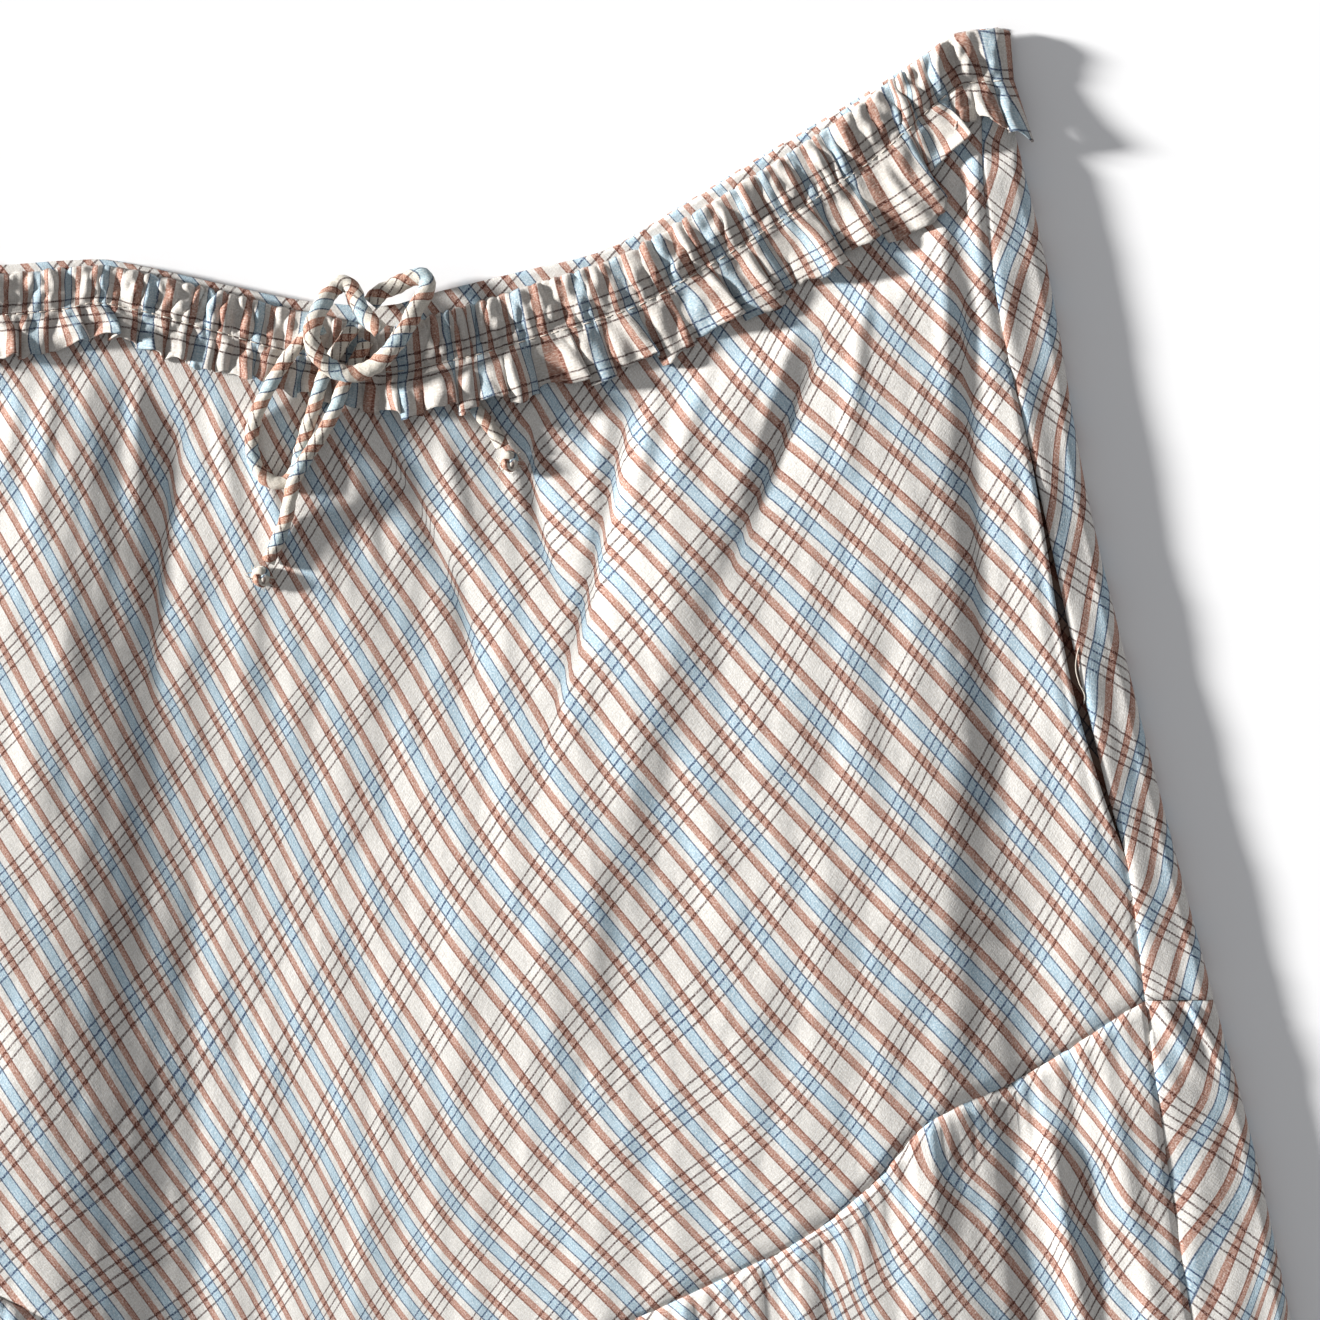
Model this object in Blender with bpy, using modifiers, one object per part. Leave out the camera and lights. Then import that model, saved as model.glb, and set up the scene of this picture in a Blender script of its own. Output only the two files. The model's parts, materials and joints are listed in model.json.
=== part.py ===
"""A gathered plaid ruffle skirt with a drawstring waist, laid flat with its front up.

The charts and functions below are in millimetres, and each mesh is turned into metres as it is made.
x runs across the skirt, y runs up towards the waist, z runs up from the surface that the skirt lies on.
Their zero is on that surface under the middle of the front waist edge, and FRAME_SHIFT moves the
finished skirt so that the middle of its outline stands over the origin.
"""
import math

import bpy
import bmesh
from mathutils import Vector
from mathutils.bvhtree import BVHTree

MM = 0.001

# Driving sizes
WALL = 1.0
CLEARANCE = 0.35
SEAM_GAP = 0.45
TIE_DIAMETER = 3.8
FRAME_SHIFT = (0.0, 303.77)

# Heights of the middle of each wall above the surface
FLOOR_LEVEL = 0.5 * WALL
BACK_OVER_FRILL = 2.75
FRONT_LEVEL = 2.7
FRONT_AT_WAIST = 4.4
SEAM_RISE = 4.6
POCKET_RISE = 0.7
CASING_LEVEL = 6.9
STITCH_LEVEL = 6.05
SIDE_ROLL = 3.0
SIDE_ROLL_AT_WAIST = 0.95
BACK_FOLD = 0.75

# Counts of gathers
CASING_PLEATS = 60
FRILL_WAVES = 37
BACK_PLEATS = 28
TIER_GATHERS = 24
BACK_TIER_GATHERS = 14

# Grid columns of the pieces: those of an upper panel and its tier agree, so that their seam meets
FRONT_COLUMNS = 72
BACK_REST = 10
BACK_ROLL = 4
BACK_STRIP = 2
BACK_COLUMNS = 2 * (BACK_REST + BACK_ROLL + BACK_STRIP)
UPPER_ROWS = 13
TIER_ROWS = 10
ROWS_UNDER_FRILL = 2

# How far below the frill's edge the front and the back leave it
FRONT_START = 2.0
BACK_START = 5.0
REST_SHARE = 2 * BACK_REST / BACK_COLUMNS
ROLL_SHARE = 2 * (BACK_REST + BACK_ROLL) / BACK_COLUMNS


class Chart:
    """A short table with named columns, read between its rows along the first column by a smooth curve."""

    def __init__(self, columns, rows):
        self.at = [float(row[0]) for row in rows]
        self.values = {}
        self.slopes = {}
        for index, name in enumerate(columns):
            values = [float(row[index]) for row in rows]
            self.values[name] = values
            self.slopes[name] = self.rates(values)

    def rates(self, values):
        """The curve's slope at each row, held flat at its turning points."""
        runs = [b - a for a, b in zip(self.at, self.at[1:])]
        steps = [(b - a) / run for a, b, run in zip(values, values[1:], runs)]
        slopes = [steps[0]]
        for before, after in zip(steps, steps[1:]):
            if before * after <= 0:
                slopes.append(0.0)
            else:
                slopes.append(2 * before * after / (before + after))
        slopes.append(steps[-1])
        return slopes

    def read(self, name, where):
        """The named column's value at a place along the first column."""
        where = min(max(where, self.at[0]), self.at[-1])
        row = 0
        while row < len(self.at) - 2 and where > self.at[row + 1]:
            row += 1
        run = self.at[row + 1] - self.at[row]
        share = (where - self.at[row]) / run
        low, high = self.values[name][row:row + 2]
        low_slope, high_slope = self.slopes[name][row:row + 2]
        ease = share * share * (3 - 2 * share)
        bend = share * (1 - share) * ((1 - share) * low_slope - share * high_slope) * run
        return low + (high - low) * ease + bend


# The waist edge from the left corner to the right one: how much of the back's inner side shows above
# the front, the depths of casing and frill, and how far the strip leans from straight down, in degrees
WAIST = Chart(
    ("x", "y", "back_shows", "casing", "frill", "lean"),
    (
        (-162, 37.0, 1.0, 12.0, 9.5, -4),
        (-150, 33.5, 1.2, 12.0, 10.0, -14),
        (-133, 23.0, 3.0, 11.0, 11.5, -22),
        (-115, 15.0, 3.5, 10.5, 12.0, -10),
        (-99, 11.7, 3.0, 10.0, 11.7, -2),
        (-84, 12.7, 2.8, 10.0, 10.5, 0),
        (-73, 13.2, 2.4, 9.0, 8.5, -6),
        (-62, 11.5, 2.5, 9.0, 9.5, -10),
        (-42, 7.0, 2.8, 9.5, 10.3, -10),
        (-16, 2.0, 4.0, 10.5, 10.0, -6),
        (0, 1.0, 6.0, 11.0, 11.5, 2),
        (16, 5.0, 6.3, 12.0, 12.5, 8),
        (36, 9.9, 5.0, 12.7, 14.0, 12),
        (57, 15.1, 3.7, 13.0, 15.0, 20),
        (78, 27.0, 4.2, 13.0, 15.5, 28),
        (99, 40.0, 4.0, 13.0, 17.0, 29),
        (120, 52.5, 2.8, 13.0, 20.0, 27),
        (132, 60.0, 1.6, 12.6, 17.0, 20),
        (141, 66.0, 1.0, 12.3, 11.0, 12),
        (151, 72.3, 0.8, 12.6, 9.5, 7),
        (162, 73.6, 0.8, 13.0, 10.5, 3),
    ),
)

# The seam between the upper panels and the lower tier, and the hem
TIER_SEAM = Chart(
    ("x", "y"),
    (
        (-204, -193),
        (-165, -218),
        (-120, -246),
        (-70, -268),
        (0, -280),
        (40, -273),
        (67, -262),
        (91, -251),
        (110, -241.5),
        (124, -231),
        (144, -210.5),
        (165, -200.5),
        (199, -179.4),
    ),
)
HEM = Chart(
    ("x", "y"),
    ((-268, -612), (-200, -638), (-100, -668), (0, -681), (100, -666), (200, -634), (268, -604)),
)

# Each side from hem to waist: the side seam on the skirt's front, the fold where the back turns over,
# and how far in from the seam the front slopes down
RIGHT_SIDE = Chart(
    ("y", "seam", "outline", "slope"),
    (
        (-604, 268, 300, 60),
        (-430, 240, 268, 70),
        (-263, 211, 236.6, 84),
        (-216, 203.8, 226.5, 84),
        (-179, 198.9, 216.5, 80),
        (-145, 194.5, 207.5, 74),
        (-127, 189.6, 202.8, 70),
        (-97, 182.4, 195.2, 62),
        (-45, 171.0, 183.0, 46),
        (9, 159.5, 173.6, 22),
        (41, 156.5, 166.0, 8),
        (60, 156.5, 161.6, 6),
        (74, 156.0, 159.3, 4),
    ),
)
LEFT_SIDE = Chart(
    ("y", "seam", "outline", "slope"),
    (
        (-612, -268, -300, 56),
        (-430, -242, -268, 60),
        (-300, -222, -243, 62),
        (-193, -204, -220, 58),
        (-130, -188, -203, 50),
        (-80, -176, -189, 40),
        (-28, -163, -175.5, 22),
        (6, -157, -166.5, 9),
        (24, -156, -161.8, 6),
        (37, -156, -159.3, 4),
    ),
)

# The pocket's mouth in the right side seam, which gapes between the front panel and the side strip
POCKET_MOUTH = Chart(
    ("y", "gape"),
    ((-148, 0), (-138, 0.5), (-120, 1.8), (-100, 2.7), (-80, 2.3), (-55, 0.9), (-30, 0.2), (8, 0)),
)
POCKET_TOP = 6.0
POCKET_FOOT = -158.0
POCKET_REACH = 108.0
POCKET_TUCK = 8.0
POCKET_LEVEL = 1.9
POCKET_BELOW_FRILL = 18.0

# Soft folds on the front, which fall away gently on one side and steeply on the other. Each crest runs
# through three places, and the breadths of its flanks and its height change from its top to its foot
FOLD_COLUMNS = (
    "x_top", "y_top", "x_mid", "y_mid", "x_foot", "y_foot",
    "left_top", "left_foot", "right_top", "right_foot", "height_top", "height_foot",
)
FRONT_FOLDS = (
    (-150, -6, -164, -90, -176, -200, 10, 18, 12, 22, 3.0, 4.2),
    (-128, -4, -142, -100, -150, -250, 12, 22, 12, 22, 3.2, 5.0),
    (-104, -8, -120, -120, -128, -280, 12, 22, 10, 16, 3.0, 4.6),
    (-78, -12, -86, -110, -86, -420, 40, 140, 24, 76, 3.6, 14.6),
    (-32, -22, -14, -65, 6, -115, 14, 18, 14, 20, 1.2, 0.8),
    (47, -14, 50, -34, 50, -70, 12, 16, 11, 12, 1.4, 0.8),
    (104, -8, 78, -80, 32, -260, 48, 96, 20, 32, 5.2, 5.6),
    (147, 30, 144, -90, 157, -420, 70, 380, 18, 60, 5.0, 9.6),
)

# Soft folds that run down the lower tier from its gathers, and others that end at the hem
TIER_FOLDS = (
    (-176, -214, -196, -350, -236, -640, 10, 26, 14, 30, 3.0, 6.0),
    (-128, -244, -140, -380, -166, -670, 12, 28, 14, 26, 3.0, 7.0),
    (-50, -276, -58, -420, -74, -700, 12, 30, 16, 34, 3.0, 7.5),
    (0, -282, 2, -430, 6, -700, 14, 26, 14, 30, 3.0, 6.0),
    (52, -272, 66, -420, 88, -700, 12, 30, 12, 30, 3.4, 7.5),
    (100, -250, 122, -400, 158, -670, 10, 26, 12, 30, 3.6, 6.0),
    (144, -214, 152, -262, 196, -650, 10, 24, 12, 26, 5.0, 6.4),
    (170, -200, 181, -250, 214, -500, 8, 18, 7, 20, 5.2, 5.4),
    (187, -190, 197, -240, 236, -600, 8, 16, 7, 20, 5.2, 5.0),
)

# The drawstring's routes: place, and how high its underside is carried over the cloth by what it crosses
BOW_ROUTE = (
    (-2.5, 1.7, 1.2),
    (0.2, 4.6, 2.2),
    (3.4, 6.0, 2.6),
    (7.7, 8.1, 2.4),
    (11.0, 8.7, 2.2),
    (12.4, 6.3, 2.4),
    (11.0, 3.2, 3.0),
    (9.2, 0.3, 3.4),
    (7.4, -3.7, 3.8),
    (4.8, -7.7, 4.2),
    (1.9, -11.4, 4.6),
    (-1.8, -14.7, 5.0),
    (-6.2, -16.5, 5.2),
    (-10.6, -16.1, 5.2),
    (-14.6, -13.6, 5.2),
    (-17.1, -9.9, 5.2),
    (-17.8, -5.9, 5.2),
    (-16.7, -1.9, 5.0),
    (-14.6, 2.1, 4.0),
    (-12.0, 5.7, 2.6),
    (-9.4, 6.9, 2.4),
    (-7.2, 5.4, 3.6),
    (-5.9, 2.0, 5.2),
    (-3.6, -1.8, 5.8),
    (0.2, -5.4, 5.2),
)
HANGING_ROUTE = (
    (-6.6, -4.2, 0.4),
    (-9.0, -7.4, 0.8),
    (-11.4, -11.0, 0.6),
    (-13.4, -14.4, 0.0),
    (-15.3, -19.0, 0.0),
    (-17.0, -25.0, 0.0),
    (-19.0, -31.0, 0.0),
    (-20.6, -36.6, 0.0),
    (-21.6, -40.8, 0.0),
    (-23.4, -44.0, 0.0),
    (-26.4, -45.0, 0.0),
    (-29.8, -43.8, 0.0),
    (-32.4, -40.0, 0.0),
    (-33.4, -34.0, 0.0),
    (-32.2, -27.4, 0.0),
    (-29.4, -21.2, 0.0),
    (-26.2, -15.6, 0.0),
    (-22.6, -10.6, 0.0),
    (-18.6, -6.6, 0.0),
    (-14.6, -4.4, 0.0),
)
LONG_END_ROUTE = (
    (-3.4, -8.0, 0.2),
    (-5.2, -11.2, 0.2),
    (-7.6, -15.6, 0.0),
    (-9.8, -20.4, 0.0),
    (-11.6, -25.6, 0.0),
    (-14.4, -31.0, 0.4),
    (-17.6, -36.0, 2.6),
    (-20.4, -40.4, 4.4),
    (-22.4, -44.6, 4.4),
    (-23.4, -49.0, 1.6),
    (-24.4, -54.0, 0.0),
    (-26.2, -59.0, 0.0),
    (-27.8, -62.6, 0.0),
    (-29.2, -65.6, 0.0),
)
SHORT_END_ROUTE = (
    (7.4, -19.8, 0.0),
    (10.6, -19.6, 0.0),
    (14.4, -20.0, 0.0),
    (18.6, -21.0, 0.0),
    (22.2, -22.8, 0.0),
    (25.2, -26.0, 0.0),
    (28.2, -29.8, 0.0),
    (30.6, -33.2, 0.0),
    (31.9, -35.6, 0.0),
)

# Where the hidden start of the short end lifts the frill: the middle, the reach along x and the height
SHORT_END_LIFT = (16.3, 12.9, 4.6)
LONG_END_KNOT = (-31.0, -69.3)
SHORT_END_KNOT = (33.6, -39.3)
KNOT_SIZE = (2.5, 3.1, 2.2)

CREAM = (0.86, 0.82, 0.76)
DRAWSTRING_TINT = (0.80, 0.76, 0.70)
SHADE_TINT = (0.46, 0.34, 0.28)
COTTON_ROUGHNESS = 0.85


def smooth(share):
    """Eases from 0 to 1 as share does."""
    share = min(max(share, 0.0), 1.0)
    return share * share * (3 - 2 * share)


def mix(low, high, share):
    return low + (high - low) * share


def uneven(across):
    """Moves evenly spaced gathers a little, so that no two are alike. across runs from -1 to 1."""
    return across + 0.012 * math.sin(9.1 * across + 0.6) + 0.007 * math.sin(23.7 * across)


def waist_point(across, depth):
    """The point that lies depth below the waist edge, along the way that the strip hangs there."""
    x = 162.0 * across
    lean = math.radians(WAIST.read("lean", x))
    return x + depth * math.sin(lean), WAIST.read("y", x) - depth * math.cos(lean)


def strip_length(x):
    """How far below the waist edge the frill ends."""
    return sum(WAIST.read(name, x) for name in ("back_shows", "casing", "frill"))


# The frill's lower edge as the skirt lies, worked out from the waist chart
FRILL_EDGE = Chart(
    ("x", "y"),
    [waist_point(step / 24, strip_length(162.0 * step / 24)) for step in range(-24, 25)],
)


def past_frill(x, y, start, run):
    """0 under the frill and for a start below its edge, easing to 1 over a run below that."""
    return smooth((FRILL_EDGE.read("y", x) - y - start) / run)


def ridge(x, y, fold):
    """The height of one soft fold at a point."""
    row = dict(zip(FOLD_COLUMNS, fold))
    share = (row["y_top"] - y) / (row["y_top"] - row["y_foot"])
    if not -0.1 < share < 1.0:
        return 0.0
    bend = (row["y_top"] - row["y_mid"]) / (row["y_top"] - row["y_foot"])
    straight = mix(row["x_top"], row["x_foot"], share)
    bow = (row["x_mid"] - mix(row["x_top"], row["x_foot"], bend)) / (bend * (1 - bend))
    off = x - straight - bow * share * (1 - share)
    side = "right" if off > 0 else "left"
    breadth = mix(row[side + "_top"], row[side + "_foot"], share)
    flank = 1 - smooth(abs(off) / breadth)
    body = smooth((share + 0.1) / 0.18) * (1 - smooth((share - 0.62) / 0.38))
    return mix(row["height_top"], row["height_foot"], share) * flank * body


def seam_slope(x, y):
    """The front slopes down from the nearer side seam, which the turned-over back holds up."""
    right = (RIGHT_SIDE.read("seam", y) - x) / RIGHT_SIDE.read("slope", y)
    left = (x - LEFT_SIDE.read("seam", y)) / LEFT_SIDE.read("slope", y)
    return SEAM_RISE * (1 - smooth(min(right, left)))


def relief(x, y, folds):
    """How high the folds and the slope at the seam lift the front: the highest of them, softly joined."""
    heights = [ridge(x, y, fold) for fold in folds]
    heights.append(seam_slope(x, y))
    return sum(height ** 4 for height in heights) ** 0.25


def pocket_rise(x, y):
    """The front panel is lifted a little by the pocket bag that lies under it."""
    inside = smooth((RIGHT_SIDE.read("seam", y) + 6 - x) / 4)
    inside *= smooth((x - RIGHT_SIDE.read("seam", y) + POCKET_REACH + 6) / 8)
    height = smooth((POCKET_TOP + 8 - y) / 6) * smooth((y - POCKET_FOOT + 8) / 8)
    return POCKET_RISE * inside * height


def front_level(x, y):
    """The middle of the front's wall: under the frill it is flat, below it the folds rise."""
    free = past_frill(x, y, FRONT_START, 16.0)
    level = mix(FRONT_AT_WAIST, FRONT_LEVEL, free)
    level += pocket_rise(x, y) * free
    return level + relief(x, y, FRONT_FOLDS) * free


def upper_level(x, y, down):
    return front_level(x, y)


def tier_level(x, y, down):
    """The lower tier starts at the upper panel's level, and its own folds rise below its seam."""
    own = relief(x, y, TIER_FOLDS) * smooth(down / 0.06)
    carried_down = relief(x, y, FRONT_FOLDS)
    return FRONT_LEVEL + (own ** 4 + carried_down ** 4) ** 0.25


def back_level(x, y):
    """The middle of the back's wall: it rests flat, and steps up over the frill under it."""
    return mix(BACK_OVER_FRILL, FLOOR_LEVEL, past_frill(x, y, BACK_START, 9.0))


def upper_point(across, down, top_depth):
    """A point of an upper panel: across from -1 to 1 between the side seams, down from 0 to 1."""
    x_top, y_top = waist_point(across * 0.965, top_depth)
    x_foot = mix(-204.0, 199.0, 0.5 + 0.5 * across)
    y_foot = TIER_SEAM.read("y", x_foot)
    return mix(x_top, x_foot, down), mix(y_top, y_foot, down)


def down_to(across, top_depth, below):
    """How far down an upper panel lies a given way below the frill's edge."""
    low, high = 0.0, 0.5
    for _ in range(20):
        middle = 0.5 * (low + high)
        x, y = upper_point(across, middle, top_depth)
        if y > FRILL_EDGE.read("y", x) - below:
            low = middle
        else:
            high = middle
    return middle


def panel_down(across, up, top_depth):
    """How far down an upper panel a grid row lies: two rows under the frill, one where the cloth has
    settled below it, and the others evenly down to the tier seam."""
    covered = down_to(across, top_depth, BACK_START + 0.5)
    settled = down_to(across, top_depth, BACK_START + 10.0)
    row = (0.5 - 0.5 * up) * UPPER_ROWS
    if row <= ROWS_UNDER_FRILL:
        return covered * row / ROWS_UNDER_FRILL
    if row <= ROWS_UNDER_FRILL + 1:
        return mix(covered, settled, row - ROWS_UNDER_FRILL)
    return mix(settled, 1.0, (row - ROWS_UNDER_FRILL - 1) / (UPPER_ROWS - ROWS_UNDER_FRILL - 1))


def tier_point(across, down):
    """A point of the lower tier, down from 0 at its seam to 1 at the hem."""
    x_top = mix(-204.0, 199.0, 0.5 + 0.5 * across)
    x_foot = 268.0 * across
    y_top = TIER_SEAM.read("y", x_top)
    y_foot = HEM.read("y", x_foot)
    return mix(x_top, x_foot, down), mix(y_top, y_foot, down)


def fitted(point, across, edge_point, column, inset=0.0):
    """Moves a row's point sideways so that the row ends on the side seam or the side fold."""
    side = RIGHT_SIDE if across > 0 else LEFT_SIDE
    target = side.read(column, edge_point[1])
    target -= math.copysign(inset, across)
    share = across * across
    return point[0] + (target - edge_point[0]) * share, point[1]


def front_row_point(place, across, down, retreat):
    """A point of a front piece, whose ends stop short of the side seam by half a gap and a retreat."""
    point = place(across, down)
    edge = place(math.copysign(1.0, across), down)
    x, y = fitted(point, across, edge, "seam", 0.5 * SEAM_GAP)
    return x - retreat(edge[1]) * max(across, 0.0) ** 8, y


def material(name, colour):
    made = bpy.data.materials.new(name)
    made.use_nodes = True
    shader = made.node_tree.nodes["Principled BSDF"]
    shader.inputs["Base Color"].default_value = (*colour, 1.0)
    shader.inputs["Roughness"].default_value = COTTON_ROUGHNESS
    shader.inputs["Metallic"].default_value = 0.0
    return made


def finish(part, collection, surface):
    """Gives a new object its material, its place in the collection and its parent."""
    part.data.materials.append(surface)
    for owner in list(part.users_collection):
        owner.objects.unlink(part)
    collection.objects.link(part)
    part.parent = bpy.data.objects["skirt"]
    return part


def cloth(name, columns, rows, place, collection, surface, wall=WALL):
    """A grid of columns by rows, each point moved to place(across, up), made a wall by Solidify."""
    mesh = bpy.data.meshes.new(name)
    grid = bmesh.new()
    bmesh.ops.create_grid(grid, x_segments=columns, y_segments=rows, size=1.0)
    for point in grid.verts:
        point.co = Vector(place(point.co.x, point.co.y)) * MM
    grid.to_mesh(mesh)
    grid.free()
    mesh.shade_smooth()
    part = bpy.data.objects.new(name, mesh)
    shell = part.modifiers.new("wall", "SOLIDIFY")
    shell.thickness = wall * MM
    shell.offset = 0.0
    return finish(part, collection, surface)


def front_upper_place(across, up):
    """The front upper panel, from the casing's top edge to the tier seam."""
    down = panel_down(across, up, front_top_depth(across))
    x, y = front_row_point(front_upper_flat, across, down, lambda at: POCKET_MOUTH.read("gape", at))
    return x, y, front_level(x, y)


def front_top_depth(across):
    """How far below the waist edge the front panel starts."""
    return WAIST.read("back_shows", 162.0 * 0.965 * across) + 1.0


def front_upper_flat(across, down):
    return upper_point(across, down, front_top_depth(across))


def front_tier_place(across, up):
    """The front lower tier, whose gathers start at the seam and soften into broad folds."""
    down = 0.5 - 0.5 * up
    x, y = front_row_point(tier_point, across, down, lambda at: 0.0)
    gap = SEAM_GAP * (1 - down)
    gathers = gather_height(across, down, TIER_GATHERS, 2.2)
    return x, y - gap, tier_level(x, y, down) + gathers * (1 - abs(across) ** 24)


def gather_height(across, down, count, height):
    """Small gathers, strongest a little below the seam, gone a fifth of the way down."""
    turn = (0.5 * count * uneven(across)) % 1.0
    wave = (turn / 0.68) ** 0.8 if turn < 0.68 else ((1 - turn) / 0.32) ** 1.3
    body = mix(0.35, 1.0, smooth(down / 0.05)) * (1 - smooth((down - 0.05) / 0.22))
    return height * body * wave


def around(across, down, place, front):
    """A point of a back piece, whose rows run from one front seam under the skirt to the other."""
    side = math.copysign(1.0, across)
    part = abs(across)
    edge = place(side, down)
    chart = RIGHT_SIDE if side > 0 else LEFT_SIDE
    outline = chart.read("outline", edge[1])
    seam = chart.read("seam", edge[1]) + side * 0.5 * SEAM_GAP
    free = past_frill(seam, edge[1], BACK_START, 9.0)
    roll = mix(SIDE_ROLL_AT_WAIST, SIDE_ROLL, free)
    floor = back_level(outline, edge[1])
    if part <= REST_SHARE:
        share = part / REST_SHARE
        x, y = place(side * share, down)
        x += (outline - side * roll - edge[0]) * share * share
        return x, y, back_level(x, y)
    if part <= ROLL_SHARE:
        turn = math.pi * (part - REST_SHARE) / (ROLL_SHARE - REST_SHARE)
        return (
            outline - side * roll * (1 - math.sin(turn)),
            edge[1],
            floor + roll * (1 - math.cos(turn)),
        )
    share = (part - ROLL_SHARE) / (1 - ROLL_SHARE)
    height = mix(floor + 2 * roll, front(seam, edge[1], down), smooth(share))
    return mix(outline - side * roll, seam, share), edge[1], height


def back_upper_flat(across, down):
    return upper_point(across, down, 0.0)


def back_upper_place(across, up):
    """The back upper panel. Its grid is turned over: it runs from the right seam to the left one."""
    share = max(min(-across / REST_SHARE, 1.0), -1.0)
    return around(-across, panel_down(share, up, 0.0), back_upper_flat, upper_level)


def back_tier_place(across, up):
    down = 0.5 - 0.5 * up
    x, y, z = around(-across, down, tier_point, tier_level)
    if abs(across) < REST_SHARE:
        lie = 1 - smooth((abs(across) / REST_SHARE - 0.8) / 0.2)
        z += BACK_FOLD * lie * gather_height(across, down, BACK_TIER_GATHERS, 1.0)
    return x, y - SEAM_GAP * (1 - down), z


STRIP_ROWS = ((0.0, 0.0), (0.55, 0.0), (1.0, 0.0), (1.0, 0.36), (1.0, 0.7), (1.0, 1.0))


def strip_depth(x, up):
    """How far below the waist edge a row of the waist strip lies, and its shares of casing and frill."""
    at = (0.5 - 0.5 * up) * (len(STRIP_ROWS) - 1)
    row = min(int(at), len(STRIP_ROWS) - 2)
    casing, frill = (mix(a, b, at - row) for a, b in zip(STRIP_ROWS[row], STRIP_ROWS[row + 1]))
    depth = WAIST.read("back_shows", x)
    depth += casing * WAIST.read("casing", x) + frill * WAIST.read("frill", x)
    return depth, casing, frill


STRIP_END = 0.985


def front_strip_place(across, up):
    """The front waist strip: a pleated casing, a stitch line that draws it in, and a waving frill."""
    inner = min(max(across / STRIP_END, -1.0), 1.0)
    depth, casing, frill = strip_depth(162.0 * inner, up)
    x, y = waist_point(inner * 0.99, depth)
    columns = 3 * CASING_PLEATS
    pleat = (0.0, 1.0, 0.45)[round((0.5 + 0.5 * across) * columns) % 3]
    full = math.sin(math.pi * min(casing, 0.9)) * 0.5 + 0.5 if frill == 0 else 0.35 * (1 - frill)
    depth_of_pleat = 1.5 + 0.4 * math.sin(31.0 * across) + 0.3 * math.sin(71.0 * across + 1.0)
    ends = 1 - smooth((abs(across) - 0.94) / 0.05)
    level = mix(CASING_LEVEL, STITCH_LEVEL, smooth((casing - 0.5) / 0.5))
    z = level + (pleat - 0.5) * depth_of_pleat * full * ends * (1 if frill == 0 else 0.5)
    wave = 0.5 + 0.5 * math.sin(math.pi * FRILL_WAVES * uneven(inner) + 0.7)
    lifted = short_end_lift(x) * smooth(frill / 0.36)
    z = max(z, STITCH_LEVEL) + frill * (0.1 + 2.6 * wave ** 1.3 * frill_swell(inner)) * ends + lifted
    x += math.copysign(4.0, inner) * frill * smooth((abs(inner) - 0.93) / 0.07)
    over = max(abs(across) - STRIP_END, 0.0) / (1 - STRIP_END)
    if over > 0:
        turn = 0.5 * math.pi * over
        x += math.copysign(2.4 * math.sin(turn), across)
        z -= (z - 2.0) * (1 - math.cos(turn))
    return x, y, z


def short_end_lift(x):
    """How far the drawstring's short end holds the frill up."""
    middle, reach, height = SHORT_END_LIFT
    return height * (1 - smooth((abs(x - middle) - reach) / 5.0))


def frill_swell(across):
    """How high the frill waves: less where the bow holds it down."""
    under_bow = math.exp(-(((across + 0.07) / 0.13) ** 2))
    return 1 - 0.45 * under_bow + 0.25 * math.sin(6.0 * across + 1.0)


def back_strip_place(across, up):
    """The back waist strip, flat under the back panel."""
    depth, casing, frill = strip_depth(162.0 * across, -up)
    x, y = waist_point(-across * 0.992, max(depth - WAIST.read("back_shows", 162.0 * across), 0.0))
    columns = 3 * BACK_PLEATS
    pleat = (0.0, 1.0, 0.0)[round((0.5 + 0.5 * across) * columns) % 3]
    ends = 1 - smooth((abs(across) - 0.93) / 0.05)
    return x, y, FLOOR_LEVEL + 0.7 * pleat * ends


def pocket_place(across, up):
    """The pocket bag, flat between front and back, its mouth edge under the side strip."""
    down = 0.5 - 0.5 * up
    y = mix(POCKET_TOP, POCKET_FOOT, down)
    mouth = RIGHT_SIDE.read("seam", y) + POCKET_TUCK
    reach = POCKET_REACH * (0.72 + 0.28 * math.sin(math.pi * min(0.15 + 0.75 * down, 1.0)))
    x = mix(mouth - reach, mouth, 0.5 + 0.5 * across)
    top = min(POCKET_TOP, FRILL_EDGE.read("y", x) - POCKET_BELOW_FRILL)
    return x, mix(top, POCKET_FOOT, down), POCKET_LEVEL


def trees_of(parts):
    """Search trees of the pieces that a cord can lie on."""
    graph = bpy.context.evaluated_depsgraph_get()
    return [BVHTree.FromObject(part, graph) for part in parts]


def resting_height(x, y, radius, trees):
    """How high the middle of a ball lies when it is let down on the cloth at a point."""
    height = radius
    for ring, count in ((0.0, 1), (0.45, 6), (0.8, 10), (1.0, 12)):
        for step in range(count):
            turn = 2 * math.pi * step / count
            reach = ring * radius
            above = Vector((x + reach * math.cos(turn), y + reach * math.sin(turn), 100.0)) * MM
            rise = math.sqrt(max(radius ** 2 - reach ** 2, 0.0))
            for tree in trees:
                struck = tree.ray_cast(above, Vector((0.0, 0.0, -1.0)))[0]
                if struck is not None:
                    height = max(height, struck.z / MM + rise)
    return height + CLEARANCE


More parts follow.
